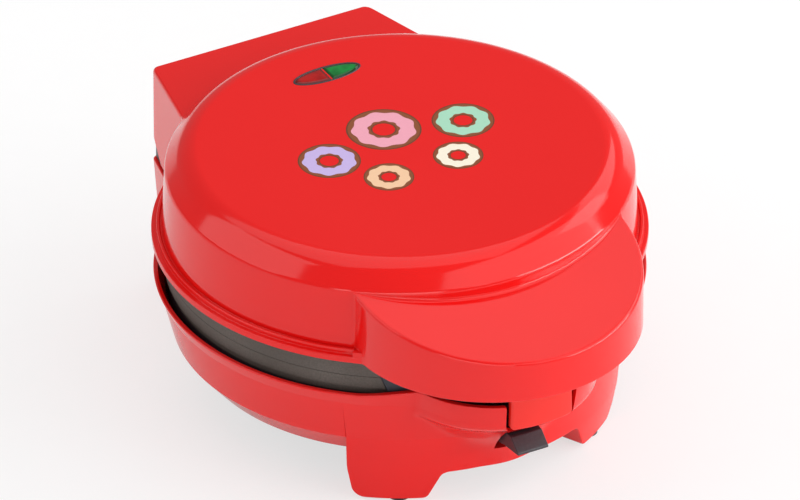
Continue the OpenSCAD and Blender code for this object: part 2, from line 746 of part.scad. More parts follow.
// Pushed in at the wedge, the slide's window leaves the nose of the upper plate's tab
module upper_release_slide() color(BLACK) placed() above() {
    back = ring_in - 5.4;
    difference() {
        union() {
            translate([-pad_half, -flange_r - 12, slide_depth])
                cube([2 * pad_half, flange_r + 12 - back, slide_t]);
            translate([-pad_half, 0, 0]) rotate([90, 0, 90]) linear_extrude(2 * pad_half)
                polygon([[-flange_r - 4, slide_depth - 2], [-flange_r - 4, slide_depth + 7],
                    [-flange_r - 7, slide_depth + 7], [-flange_r - 13, slide_depth + 3],
                    [-flange_r - 13, slide_depth - 2]]);
        }
        translate([-6, -ring_in - 1 - slide_travel - gap, slide_depth - 1])
            cube([12, slide_travel + 2 + 2 * gap, slide_t + 2]);
    }
}

// Two coil springs between the lid's flange and the wedge, drawn at their pressed length
module upper_slide_springs() color(STEEL) placed() for (x = [-5, 5])
    translate([x, -flange_r - 0.25, part_z + slide_depth + slide_t + 1.3]) rotate([90, 0, 0])
        coil(0.9, 0.2, 0.5, 1);

// ---- Electrical pieces ----

module thermostat() color("#d9cfc0") placed() translate([24, 30, part_z + pan_d]) {
    cylinder(r = 9, h = 6, $fn = 48);
    translate([-5, -2, 6]) cube([10, 4, 3]);
}

module thermal_fuse() color("#b9a27a") placed() translate([-24, 30, part_z - pan_d]) {
    translate([-8, -3, -5]) cube([16, 6, 5]);
    for (x = [-8, 8]) translate([x, 0, -2.5]) rotate([0, 90, 0])
        cylinder(r = 1, h = 5, center = true, $fn = 24);
}

module terminal_block() color("#e6e0d2") placed() difference() {
    translate([-14, 40, floor_z]) cube([28, 14, 10]);
    for (x = [-9, 0, 9]) translate([x, 47, floor_z + 4]) cylinder(r = 2, h = 8, $fn = 32);
}

// Three wires from the terminal block: two to the lower element, one to the fuse
module base_wiring() color(GREY) placed() {
    end_z = part_z - terminal_d - 0.2;
    for (s = [-1, 1]) wire(curve([s * 9, 47, floor_z + 11.4], [s * 9, 47, floor_z + 18],
        [s * terminal_x, terminal_y, end_z - 9], [s * terminal_x, terminal_y, end_z]), wire_r);
    wire(curve([0, 47, floor_z + 11.4], [0, 47, floor_z + 18], [-20, 34, floor_z + 12],
        [-24, 30, part_z - pan_d - 6.4]), wire_r);
}

// Three wires from the lamp holder: two to the upper element, one to the thermostat
module lid_wiring() color(GREY) placed() {
    end_z = part_z + terminal_d + 0.2;
    for (s = [-1, 1]) wire(curve([s * 12, lamp_y - 4, top_z - 14.4], [s * 14, lamp_y - 4, top_z - 18],
        [s * terminal_x, terminal_y, end_z + 6], [s * terminal_x, terminal_y, end_z]), wire_r);
    wire(curve([0, lamp_y - 4, top_z - 14.4], [2, lamp_y - 10, top_z - 20], [20, 40, part_z + pan_d + 18],
        [24, 30, part_z + pan_d + 10.4]), wire_r);
}

// A rubber bush in the back wall that takes the mains cord
module cord_gland() color(BLACK) placed() translate([0, block_reach, gland_z]) rotate([90, 0, 0])
    difference() {
        union() {
            translate([0, 0, -gland_rim]) cylinder(r = gland_flange_r, h = gland_rim, $fn = 48);
            cylinder(r = gland_neck_r, h = wall, $fn = 48);
            translate([0, 0, wall]) cylinder(r = gland_flange_r, h = 2, $fn = 48);
        }
        translate([0, 0, -2]) cylinder(r = cord_r, h = 12, $fn = 48);
    }

// ---- Base ----

// The bowl with its apron; at the sides and the back the underside slopes in from the crease
module bowl_outer() {
    slope = (belt_z - floor_z) / (belt_r - floor_r);
    difference() {
        turned([[0, floor_z], [apron_r - wall, floor_z], [apron_r - wall, apron_z], [apron_r, apron_z],
            [belt_r, belt_z], [bead_r, bead_z], [rim_r, base_h], [0, base_h]]);
        rotate(leg_turns[1] + leg_half_turn)
            rotate_extrude(angle = 360 - left_leg_turn - right_leg_turn - 2 * leg_half_turn)
                polygon([[floor_r, floor_z], [rim_r + 2, floor_z + slope * (rim_r + 2 - floor_r)],
                    [rim_r + 2, 0], [floor_r, 0]]);
    }
}

module bowl_void() turned([[0, floor_z + wall], [floor_r - 1, floor_z + wall], [belt_r - wall, belt_z + 0.5],
    [bead_r - wall, bead_z], [rim_r - wall, base_h + 1], [0, base_h + 1]]);

// The chin is a cove turned about its own axis, drawn in by an inset
module chin_form(inset, low_z, high_z) translate([0, -chin_y, 0])
    rotate_extrude() polygon(concat(
        [[0, low_z], [chin_foot + (low_z - apron_z) * chin_draft - inset, low_z]],
        [for (p = cove) [chin_foot + p[0] - inset, base_h - p[1]]],
        [[chin_r - chin_lean - inset, base_h - notch_h], [chin_r - inset, high_z], [0, high_z]]));

// A front leg: a stretch of a ring cut to a tapered outline, just behind the apron's face
module leg_form(inset, low_z, high_z) intersection() {
    turned([[leg_in + inset, low_z], [leg_out - leg_draft - inset, low_z],
        [leg_out - leg_set - inset, leg_bend], [leg_out - leg_set - inset, high_z],
        [leg_in + inset, high_z]]);
    for (a = leg_turns) rotate([0, 0, a + 90]) rotate([90, 0, 0]) linear_extrude(rim_r)
        polygon([[-leg_foot / 2 + inset, low_z], [leg_foot / 2 - inset, low_z],
            [leg_top / 2 - inset, apron_z + 4], [leg_top / 2 - inset, high_z],
            [-leg_top / 2 + inset, high_z], [-leg_top / 2 + inset, apron_z + 4]]);
}

module back_leg_form(inset, low_z) for (x = [-1, 1])
    translate([x * back_leg_x - 11 + inset, back_leg_y - 11 + inset, low_z])
        cube([22 - 2 * inset, 22 - 2 * inset, floor_z - low_z + 1]);

// The sides of the base's hinge housing draw in a little towards the floor
module base_block_form(inset, low_z, high_z) hull() {
    translate([0, 0, high_z - 1]) linear_extrude(1) block_plan(inset, base_block_front + inset);
    translate([0, 0, low_z]) linear_extrude(1)
        block_plan(inset, base_block_front + inset, block_taper * (base_h - low_z));
}

module base_shell() color(RED) placed() difference() {
    union() {
        bowl_outer();
        difference() {
            chin_form(0, apron_z, base_h);
            translate([0, 0, apron_z - 1]) cylinder(r = apron_r - wall, h = floor_z - apron_z + 1);
        }
        leg_form(0, foot_proud, apron_z + 4.5);
        back_leg_form(0, foot_proud);
        base_block_form(0, floor_z - 2, base_h);
    }
    difference() {
        union() {
            bowl_void();
            chin_form(wall, floor_z + wall, base_h + 1);
            base_block_form(wall, floor_z + wall, base_h + 1);
        }
        intersection() {
            bowl_outer();
            for (a = post_turns) rotate(a) translate([post_ring, 0, floor_z])
                cylinder(r = post_r, h = part_z - pan_d - floor_z, $fn = 48);
        }
        for (p = hinge_screws_at) translate([p.x, p.y, floor_z])
            cylinder(r = boss_r, h = base_boss_z - floor_z, $fn = 48);
        for (a = cover_turns) rotate(a) translate([cover_ring, 0, floor_z])
            cylinder(r = boss_r, h = 9, $fn = 32);
    }
    leg_form(wall, foot_proud + 5, floor_z + wall + 1);
    back_leg_form(wall, foot_proud + 5);
    translate([0, 0, floor_z - 1]) cylinder(r = lip_r, h = wall + 1 + eps);
    for (a = cover_turns) rotate(a) translate([cover_ring, 0, floor_z - 1])
        cylinder(r = screw_r + running, h = 8, $fn = 32);
    for (a = post_turns) rotate(a) translate([post_ring, 0, part_z - pan_d - 8])
        cylinder(r = screw_r + running, h = 8 + eps, $fn = 32);
    for (p = hinge_screws_at) translate([p.x, p.y, base_boss_z - pilot])
        cylinder(r = screw_r + running, h = pilot + eps, $fn = 32);
    for (p = feet) translate([p.x, p.y, -1])
        cylinder(r = foot_r + 0.1, h = foot_proud + foot_depth + 1, $fn = 48);
    translate([-notch_w / 2, -handle_reach, base_h - notch_h])
        cube([notch_w, handle_reach - 118, notch_h + 5]);
    translate([-slot_half, -handle_reach, lever_z - 23])
        cube([2 * slot_half, handle_reach - chin_y - 20, 15.2]);
    translate([0, block_reach - 20, gland_z]) rotate([-90, 0, 0])
        cylinder(r = gland_neck_r, h = 40, $fn = 48);
}

module bottom_cover() color("#3c3c40") placed() difference() {
    translate([0, 0, floor_z - 1.2]) cylinder(r = cover_r, h = 1.2);
    for (a = cover_turns) rotate(a) translate([cover_ring, 0, floor_z - 2])
        cylinder(r = screw_r + 0.2, h = 4, $fn = 32);
    for (y = [-50:10:20]) translate([-30, y - 2, floor_z - 2]) cube([60, 4, 4]);
}

module cover_screws() color(STEEL) placed() for (a = cover_turns) rotate(a)
    translate([cover_ring, 0, floor_z - 1.2]) screw(screw_r, 7);

module rubber_feet() color("#26262a") placed() for (p = feet)
    translate([p.x, p.y, 0]) cylinder(r = foot_r, h = foot_proud + foot_depth, $fn = 48);

lid_shell();
lens_bezel();
power_lens();
ready_lens();
lamp_holder();
signal_lamps();
handle_plate();
finger_guard();
latch();
latch_pin();
lid_hinge_block();
lid_hinge_screws();
upper_carrier();
upper_carrier_screws();
upper_heat_pan();
upper_element();
upper_element_clips();
upper_plate();
upper_plate_clips();
upper_release_slide();
upper_slide_springs();
thermostat();
lid_wiring();
base_shell();
bottom_cover();
cover_screws();
rubber_feet();
base_hinge_block();
base_hinge_screws();
hinge_pins();
lower_carrier();
lower_carrier_screws();
lower_heat_pan();
lower_element();
lower_element_clips();
lower_plate();
lower_plate_clips();
lower_release_lever();
lever_pin();
lever_spring();
thermal_fuse();
terminal_block();
base_wiring();
cord_gland();
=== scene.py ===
import math

import bmesh
import bpy
import numpy as np
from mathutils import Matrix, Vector


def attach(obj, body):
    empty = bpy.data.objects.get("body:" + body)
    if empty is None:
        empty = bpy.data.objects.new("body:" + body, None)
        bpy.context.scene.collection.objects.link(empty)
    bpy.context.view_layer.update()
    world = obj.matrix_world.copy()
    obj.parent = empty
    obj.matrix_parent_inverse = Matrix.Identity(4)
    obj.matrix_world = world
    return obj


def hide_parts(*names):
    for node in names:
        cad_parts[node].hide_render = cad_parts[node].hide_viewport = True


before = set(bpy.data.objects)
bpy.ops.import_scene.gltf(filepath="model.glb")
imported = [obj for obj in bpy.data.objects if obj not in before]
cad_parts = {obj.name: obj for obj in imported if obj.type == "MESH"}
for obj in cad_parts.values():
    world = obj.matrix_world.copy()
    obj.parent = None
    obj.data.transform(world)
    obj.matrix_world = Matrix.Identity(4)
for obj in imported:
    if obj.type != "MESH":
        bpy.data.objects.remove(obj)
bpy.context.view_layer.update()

# ---- Lid moulding ----
# The red lid is one injection moulding in ABS: a flat top with a chamfer, a wall that leans out to
# a stepped flange, the hollow round handle in front and the upper hinge housing behind.
# The mould is polished, so the surface is high gloss with a faint waviness.

# Heights over the table and lengths from the lid's axis, in millimetres. The axis stands AXIS_Y
# behind the middle of the whole machine.
MM, AXIS_Y, WALL = 0.001, 9.65, 2.5
TOP, SHOULDER_Z, STEP_Z, LID_RIM = 133.0, 121.2, 91.2, 85.2
TOP_R, SHOULDER_R, SKIRT_R, RING_R, FLANGE_R = 102.5, 112.0, 113.5, 116.0, 118.5
# The tops of the handle and of the hinge housing are planes: a height over the axis, and a fall
# outwards as a slope. Where neither stands out, the wall's line is kept at a plain height.
HANDLE_Y, HANDLE_R, HANDLE_LEVEL, HANDLE_FALL = 89.5, 72.0, 137.9, 0.2
BLOCK_BACK, BLOCK_HALF, BLOCK_FLARE, BLOCK_LEVEL, BLOCK_FALL = 140.7, 58.8, 0.213, 125.56, 0.058
PLAIN_Z = 117.0
# The housing's underside: its lowest edge, and the sloped cut that lets it swing past the base.
BLOCK_LOW, CUT_TOP, CUT_SLOPE = 70.5, 81.2, 0.725


def linear(colour):
    """An sRGB hex colour such as e02a2c as linear red, green, blue and 1."""
    parts = [int(colour[i:i + 2], 16) / 255 for i in (0, 2, 4)]
    return [p / 12.92 if p <= 0.04045 else ((p + 0.055) / 1.055) ** 2.4 for p in parts] + [1.0]


def add(tree, kind, links=None, values=None, **settings):
    """Adds a node: settings are its own properties, values its sockets, links what feeds a socket."""
    made = tree.nodes.new(kind)
    for name, value in settings.items():
        setattr(made, name, value)
    for socket, value in (values or {}).items():
        made.inputs[socket].default_value = value
    for socket, source in (links or {}).items():
        tree.links.new(source, made.inputs[socket])
    return made


def marks(apart):
    """A pattern's scale on coordinates in metres, for marks that lie so many millimetres apart."""
    return 1 / (apart * MM)


def finish_named(name, sockets):
    """A new material, its node tree, its Principled shader and the piece's own coordinates. What is
    the same all over the surface is set on the shader's sockets."""
    material = bpy.data.materials.new(name)
    material.use_nodes = True
    tree = material.node_tree
    tree.nodes.clear()
    shader = add(tree, "ShaderNodeBsdfPrincipled", values=sockets)
    add(tree, "ShaderNodeOutputMaterial", {"Surface": shader.outputs[0]})
    return material, tree, shader, add(tree, "ShaderNodeTexCoord").outputs["Object"]


def rounded(corners, radii, steps=5, splits=None):
    """A broken line with its corners turned to arcs. Each arc starts and ends radius times the
    tangent of half the turn away from its corner, less where the legs are short, and runs between
    as a weighted square curve, which is an exact arc of a circle. corners is an array of lines,
    corners along a line, and two coordinates; radii is one per inner corner, steps the points on
    an arc, and splits the extra points on each straight leg."""
    corners = np.asarray(corners, float)
    legs = np.linalg.norm(np.diff(corners, axis=1), axis=2)
    back = corners[:, :-2] - corners[:, 1:-1]
    ahead = corners[:, 2:] - corners[:, 1:-1]
    back_len, ahead_len = legs[:, :-1], legs[:, 1:]
    dot = (back * ahead).sum(2) / np.maximum(back_len * ahead_len, 1e-9)
    inner = np.arccos(np.clip(dot, -1, 1))
    inner = np.where(np.minimum(back_len, ahead_len) < 1e-6, math.pi, inner)
    cut = np.asarray(radii) / np.tan(np.maximum(inner, 1e-3) / 2)
    cut = np.minimum(cut, np.minimum(back_len, ahead_len))
    both = np.pad(cut, ((0, 0), (1, 1)))
    share = np.minimum(1, legs / np.maximum(both[:, :-1] + both[:, 1:], 1e-9))
    cut = cut * np.minimum(share[:, :-1], share[:, 1:])
    start = corners[:, 1:-1] + back * (cut / np.maximum(back_len, 1e-9))[:, :, None]
    end = corners[:, 1:-1] + ahead * (cut / np.maximum(ahead_len, 1e-9))[:, :, None]
    weight = np.sin(inner / 2)[:, :, None]
    parts, last = [corners[:, :1]], corners[:, 0]
    for k in range(corners.shape[1] - 1):
        target = start[:, k] if k < corners.shape[1] - 2 else corners[:, -1]
        for j in range(1, (splits[k] if splits else 0) + 1):
            parts.append((last + (target - last) * (j / (splits[k] + 1)))[:, None])
        if k == corners.shape[1] - 2:
            parts.append(target[:, None])
            break
        for t in np.linspace(0, 1, steps + 1):
            w = 2 * t * (1 - t) * weight[:, k]
            a, c = (1 - t) ** 2, t * t
            parts.append(((a * start[:, k] + w * corners[:, k + 1] + c * end[:, k]) / (a + w + c))[:, None])
        last = end[:, k]
    return np.concatenate(parts, axis=1)


def moulded_piece(name, points, faces, body, material, stands_for, sharp, arcs=0.0):
    """A piece from points in millimetres about the lid's axis and the faces between them. Points
    that fall together are merged and faces turn outwards. Edges that turn by more than sharp
    degrees stay edges, or become arcs of the given radius."""
    mesh = bpy.data.meshes.new(name)
    mesh.from_pydata(points * MM + np.array([0, AXIS_Y * MM, 0]), [], faces)
    tidy = bmesh.new()
    tidy.from_mesh(mesh)
    bmesh.ops.remove_doubles(tidy, verts=tidy.verts, dist=4e-6)
    bmesh.ops.dissolve_degenerate(tidy, edges=tidy.edges, dist=2e-6)
    bmesh.ops.recalc_face_normals(tidy, faces=tidy.faces)
    tidy.to_mesh(mesh)
    tidy.free()
    mesh.polygons.foreach_set("use_smooth", np.ones(len(mesh.polygons), bool))
    mesh.set_sharp_from_angle(angle=math.radians(sharp))
    mesh.materials.append(material)
    piece = bpy.data.objects.new(name, mesh)
    bpy.context.scene.collection.objects.link(piece)
    if arcs:
        bevel = piece.modifiers.new("moulded edges", "BEVEL")
        bevel.width, bevel.segments = arcs * MM, 3
        bevel.limit_method, bevel.angle_limit = "ANGLE", math.radians(28)
    piece.modifiers.new("flat faces stay flat", "WEIGHTED_NORMAL").keep_sharp = True
    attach(piece, body)
    if stands_for:
        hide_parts(*stands_for)
    return piece


def skin(name, points, body, material, around=True, loop=False, stands_for=()):
    """A piece from a grid of points, columns by rows by three. Neighbouring points make a face;
    around closes the columns, and loop the rows, on themselves."""
    columns, rows = points.shape[:2]
    i = np.arange(columns if around else columns - 1)[:, None]
    j = np.arange(rows if loop else rows - 1)[None, :]
    i2, j2 = (i + 1) % columns, (j + 1) % rows
    quads = np.stack([i * rows + j, i2 * rows + j, i2 * rows + j2, i * rows + j2], axis=2)
    return moulded_piece(name, points.reshape(-1, 3), quads.reshape(-1, 4), body, material, stands_for, 38)


def turned(r, z, angle):
    """The points at radii and heights in directions round the axis, as columns by rows by three."""
    r, z, angle = np.broadcast_arrays(r, z, angle[:, None])
    return np.stack([r * np.cos(angle), r * np.sin(angle), z], axis=2)


def bigger(a, b, blend):
    """The larger of two lengths, plus a quarter of blend times the square of how near they are to
    each other as a share of blend, which fillets the corner between them."""
    near = np.maximum(blend - np.abs(a - b), 0) / blend
    return np.maximum(a, b) + near * near * blend / 4


def turns(*busy, coarse=0.75, fine=0.1, reach=2.0):
    """Directions round the axis in degrees: coarse steps everywhere, fine ones within reach of each
    busy direction, where the outline turns a corner."""
    near = [np.arange(b - reach, b + reach, fine) for b in busy]
    return np.unique(np.round(np.concatenate([np.arange(-180, 180, coarse), *near]), 4))


def handle_outline(angle):
    """How far out the handle's circle lies in a direction from the lid's axis, or 0: the ray's
    far meeting with a circle HANDLE_R round a point HANDLE_Y in front."""
    inside = HANDLE_R ** 2 - (HANDLE_Y * np.cos(angle)) ** 2
    out = -HANDLE_Y * np.sin(angle) + np.sqrt(np.maximum(inside, 0))
    return np.where((np.sin(angle) < 0) & (inside > 0), out, 0)


def block_outline(angle, narrow=0.0):
    """How far out the hinge housing lies in a direction, or 0: the nearer of its flat back and its
    straight sides, which flare forwards, with a fillet between them."""
    up = np.maximum(np.sin(angle), 1e-3)
    back = BLOCK_BACK / up
    side = (BLOCK_HALF - narrow + BLOCK_FLARE * BLOCK_BACK) / (np.abs(np.cos(angle)) + BLOCK_FLARE * up)
    return np.where(np.sin(angle) > 0, -bigger(-back, -side, 5.0), 0)


def wall_r(z):
    """Radius of the lid's wall at a height: it leans out in a straight line to the flange."""
    return SKIRT_R - (z - STEP_Z) * (SKIRT_R - SHOULDER_R) / (SHOULDER_Z - STEP_Z)


# The handle leaves the wall at 39.4 degrees on both sides of the front. The housing's back corners
# are 22.7 degrees, and its roots 36.8 degrees, from the back.
lid_turns = np.radians(turns(-129.4, -50.6, 90 - 22.7, 90 + 22.7, 53.2, 126.8))
reach = np.maximum(handle_outline(lid_turns), block_outline(lid_turns))
sine = np.sin(lid_turns)
behind = np.clip((sine + 0.2) / 0.4, 0, 1)
level = (1 - behind) * HANDLE_LEVEL + behind * BLOCK_LEVEL
slope = ((1 - behind) * HANDLE_FALL - behind * BLOCK_FALL) * sine
lean = (SKIRT_R - SHOULDER_R) / (SHOULDER_Z - STEP_Z)
joint_r = (SKIRT_R - lean * (level - STEP_Z)) / (1 + lean * slope)
joint_z = level + slope * joint_r
plain = reach < wall_r(joint_z) - 1.5
joint_z = np.where(plain, np.minimum(joint_z, PLAIN_Z), joint_z)
joint_r = wall_r(joint_z)
edge_r = bigger(reach, joint_r, 1.4)
edge_r = np.where(plain, joint_r, edge_r)
edge_z = np.where(plain, joint_z, level + slope * edge_r)
cut_z = np.clip(CUT_TOP - (BLOCK_BACK - edge_r * sine) * CUT_SLOPE, BLOCK_LOW, CUT_TOP)
low_z = np.where((sine > 0) & (edge_r > FLANGE_R - 0.4), cut_z, LID_RIM)
ones = np.ones_like(lid_turns)
outer = [(0 * ones, TOP * ones), (TOP_R * ones, TOP * ones), (SHOULDER_R * ones, SHOULDER_Z * ones),
         (joint_r, joint_z), (edge_r, edge_z)]
# The stepped flange: a groove at the wall's foot, a step and a lip. Where the handle or the housing
# stands further out, each row lies on its side instead, a little lower than the last.
for r, z, beside_z in [(SKIRT_R, 90.3, 91.8), (114.2, 90.3, 91.6), (114.6, STEP_Z, 91.4),
                       (RING_R, STEP_Z, 91.1), (RING_R, 88.6, 90), (FLANGE_R, 88.6, 88.6)]:
    outer.append((np.maximum(edge_r, r), np.where(edge_r > r, beside_z, z)))
outer.append((np.maximum(edge_r, FLANGE_R), low_z))
# Inside, the wall, the handle and the housing are hollow at one wall's thickness.
inner_r = np.maximum(edge_r, FLANGE_R) - WALL
roof_z = np.where(edge_r > FLANGE_R, edge_z - WALL, STEP_Z - WALL)
roof_in = np.where(edge_r > FLANGE_R, joint_z - WALL, STEP_Z)
inner = [(inner_r, low_z), (inner_r, roof_z), (SKIRT_R - WALL + 0 * ones, roof_in),
         ((SHOULDER_R - WALL) * ones, (SHOULDER_Z - 1) * ones),
         ((TOP_R - 1) * ones, (TOP - WALL) * ones),
         (0 * ones, (TOP - WALL) * ones)]
corners = np.stack([np.stack(c, axis=1) for c in outer + inner], axis=1)
radii = [13, 4.2, 2.0, 2.2, 0.3, 0.3, 0.5, 0.45, 0.4, 0.5, 0.5, 0.5, 1, 1, 1, 1]
line = rounded(corners, radii, steps=5, splits=[3] + [0] * 16)
lid_points = turned(line[:, :, 0], line[:, :, 1], lid_turns)

# Polished red ABS: a deep even red with clear gloss. Its colour drifts every 70 mm or so, as the
# melt does, and the sinks and swells of a large moulding, 22 mm apart, bend its reflections.
red_abs, tree, shader, place = finish_named("polished_red_abs",
                                            {"Roughness": 0.1, "IOR": 1.53, "Specular IOR Level": 0.4})
mottle = add(tree, "ShaderNodeTexNoise", {"Vector": place}, {"Scale": marks(70), "Detail": 2.0})
tint = add(tree, "ShaderNodeMix", {"Factor": mottle.outputs["Fac"]},
           {"A": linear("e21210"), "B": linear("e61614")}, data_type="RGBA")
waves = add(tree, "ShaderNodeTexNoise", {"Vector": place}, {"Scale": marks(22), "Detail": 1.0})
ripple = add(tree, "ShaderNodeBump", {"Height": waves.outputs["Fac"]}, {"Strength": 0.05, "Distance": 0.2 * MM})
tree.links.new(tint.outputs["Result"], shader.inputs["Base Color"])
tree.links.new(ripple.outputs["Normal"], shader.inputs["Normal"])
skin("lid_moulding", lid_points, "lid", red_abs, stands_for=["lid_shell"])

# Under the handle the dome's own wall and flange go on as a curved wall, open in the middle
# for the release slide.
section = np.array([[111, 90], [111, 114], [113.2, 114], [113.4, 91.2], [118.4, 91.2],
                    [118.4, 85.3], [116.1, 85.3], [116.1, 88.6], [111, 90]])
for side, start in (("left", -129.6), ("right", -85.4)):
    arc = np.radians(np.linspace(start, start + 35, 60))
    skin("lid_wall_under_handle_" + side, turned(section[:-1, 0], section[:-1, 1], arc), "lid",
         red_abs, around=False, loop=True, stands_for=["lid_shell"])

# ---- Base moulding ----
# The red base is a second ABS moulding: a bowl that turns in at a crease, a cove-shaped chin under
# the handle, an apron between two front legs, and a notch in the chin's rim for the latch. The
# housing for the hinge and the two back legs are moulded on behind.

BASE_RIM, CREASE_Z, APRON_Z, FLOOR_Z, FOOT_Z = 66.7, 37.0, 16.0, 24.0, 1.0
RIM_R, LIP_R, CREASE_R, LEG_R, FOOT_DRAFT = 115.5, 118.0, 109.0, 107.0, 2.0
# The bottom cover's seat lies between two radii, round the opening in the floor. Behind their faces
# the legs and the apron reach in to radii of their own.
SEAT_OUT, SEAT_IN, FLOOR_HOLE, LEG_IN, APRON_IN = 98.0, 92.0, 84.0, 91.5, 104.5
# The chin's circle: its middle in front of the lid's axis, how far it moves forward up to the rim,
# its radius at the notch's floor, and how much wider it is at the rim. Then half the notch's width,
# how far out the notch lies, and how far the rim rises towards it.
CHIN_Y, CHIN_MOVE, NOTCH_Z, NOTCH_R, CHIN_FLARE = 80.0, 12.0, 55.3, 60.4, 2.0
NOTCH_HALF, CHIN_FRONT, RIM_RISE = 18.7, 142.0, 3.0


def smooth_line(points, heights):
    """A smooth curve through points of height and radius: between two points the radius follows a
    cubic whose slopes at the points are the mean of the slopes on both sides."""
    z, r = np.array(points, float).T
    step = np.diff(r) / np.diff(z)
    slopes = np.concatenate([step[:1], (step[:-1] + step[1:]) / 2, step[-1:]])
    k = np.clip(np.searchsorted(z, heights) - 1, 0, len(z) - 2)
    span = z[k + 1] - z[k]
    t = np.clip((heights - z[k]) / span, 0, 1)
    return ((2 * t ** 3 - 3 * t ** 2 + 1) * r[k] + (t ** 3 - 2 * t ** 2 + t) * span * slopes[k]
            + (3 * t ** 2 - 2 * t ** 3) * r[k + 1] + (t ** 3 - t ** 2) * span * slopes[k + 1])


def rounding(from_end, radius):
    """How far an arc of a radius draws a face in at a length from the face's end: the radius, less
    the root of its square less the square of how much nearer than the radius the end is."""
    nearer = np.maximum(radius - from_end, 0)
    return radius - np.sqrt(np.maximum(radius ** 2 - nearer ** 2, 0))


def chin_reach(angle, z, inset=0.0):
    """How far out the chin lies in a direction at a height. Its own radius follows the cove, its axis
    moves forward and the radius shrinks alike towards the rim, which keeps the front where it is, and
    the ray from the lid's axis meets the circle about that axis."""
    cove = smooth_line([(16, 28.2), (24, 30.4), (31, 33.2), (36, 36.6), (41, 40.9), (45, 45.1), (48, 48.9),
                        (52, 54.8), (NOTCH_Z, NOTCH_R)], np.minimum(z, NOTCH_Z))
    flared = NOTCH_R + CHIN_FLARE * (z - NOTCH_Z) / (BASE_RIM - NOTCH_Z)
    own = np.where(z > NOTCH_Z, flared, cove) - inset
    rise = np.clip((z - 40) / 20, 0, 1)
    forward = CHIN_MOVE * rise * rise * (3 - 2 * rise)
    axis_y = CHIN_Y + forward
    inside = (own - forward) ** 2 - (axis_y * np.cos(angle)) ** 2
    out = -axis_y * np.sin(angle) + np.sqrt(np.maximum(inside, 0))
    return np.where((np.sin(angle) < 0) & (inside > 0), out, 0)


# Each front leg: its middle's turn from the front and the turn on to the leg's outer end, in
# degrees, and the leg's outer side from its own middle.
LEFT_LEG, LEFT_END, LEFT_SIDE = 29.0, 13.4, 24.9
RIGHT_LEG, RIGHT_END, RIGHT_SIDE = 34.5, 12.2, 23.0
left_end, right_end = -90 - LEFT_LEG - LEFT_END, -90 + RIGHT_LEG + RIGHT_END
base_turns = turns(-90 - 7.7, -90 + 7.7, left_end, right_end, -90 - LEFT_LEG + 9, -90 - LEFT_LEG - 9,
                   -90 + RIGHT_LEG - 9, -90 + RIGHT_LEG + 9, reach=3.0)
# Two directions a hair apart at each leg's outer end make its side stand upright.
beside = [left_end - 0.01, left_end + 0.01, right_end - 0.01, right_end + 0.01]
base_turns = np.unique(np.concatenate([base_turns, beside]))
base_angle = np.radians(base_turns)
turn = (base_turns + 90 + 180) % 360 - 180
on_left, off = turn < 0, np.abs(turn)
leg_turn, leg_end = np.where(on_left, LEFT_LEG, RIGHT_LEG), np.where(on_left, LEFT_END, RIGHT_END)
leg_side = np.where(on_left, LEFT_SIDE, RIGHT_SIDE)
across = LEG_R * np.sin(np.radians(off - leg_turn))
# The lower edge of the apron and of each leg, as lengths across the leg and heights.
left_foot = rounded([[[-40, APRON_Z], [-20.9, APRON_Z], [-13.5, FOOT_Z], [22, FOOT_Z],
                      [LEFT_SIDE, 20], [LEFT_SIDE + 0.01, 20]]], [5, 3.5, 6.5, 0.1], steps=10)[0]
right_foot = rounded([[[-40, APRON_Z], [-20.9, APRON_Z], [-13.5, FOOT_Z], [13, FOOT_Z], [18, 5.5], [22, 16],
                       [RIGHT_SIDE, 20], [RIGHT_SIDE + 0.01, 20]]], [5, 3.5, 5, 8, 4, 0.1], steps=8)[0]
foot_z = np.where(on_left, np.interp(across, left_foot[:, 0], left_foot[:, 1]),
                  np.interp(across, right_foot[:, 0], right_foot[:, 1]))
foot_z = np.where(off < leg_turn - 12, np.minimum(foot_z, APRON_Z), foot_z)
skirted = off <= leg_turn + leg_end
in_leg = skirted & (across > -21.5)
# The rim rises towards the front, except in the notch, whose corners are rounded.
risen = BASE_RIM + RIM_RISE
notch_line = rounded([[[-60, risen], [-NOTCH_HALF - 0.3, risen], [-NOTCH_HALF, NOTCH_Z],
                       [NOTCH_HALF, NOTCH_Z], [NOTCH_HALF + 0.3, risen], [60, risen]]], [0.6, 3, 3, 0.6], steps=6)[0]
notch_z = np.interp(CHIN_FRONT * np.sin(np.radians(turn)), notch_line[:, 0], notch_line[:, 1])
near = np.clip((40 - off) / 16, 0, 1)
front_rim = BASE_RIM + RIM_RISE * near * near * (3 - 2 * near)
rim_z = np.where(off < 20, np.minimum(notch_z, front_rim), front_rim)
ones = np.ones_like(base_angle)
# A leg's outer side is rounded off by an arc of 0.9 mm.
side_round = np.where(skirted, rounding(leg_side - across, 0.9), 0)
# The hem is the lowest edge: under the legs and the apron, and along the cover's seat elsewhere.
# A leg's face draws in towards its foot.
draft = FOOT_DRAFT * np.clip((APRON_Z - foot_z) / (APRON_Z - FOOT_Z), 0, 1)
hem_r = np.where(skirted, LEG_R - draft - side_round, SEAT_OUT)
hem_z = np.where(skirted, foot_z, FLOOR_Z)
back_r = np.where(in_leg, LEG_IN, np.where(skirted, APRON_IN, SEAT_IN))
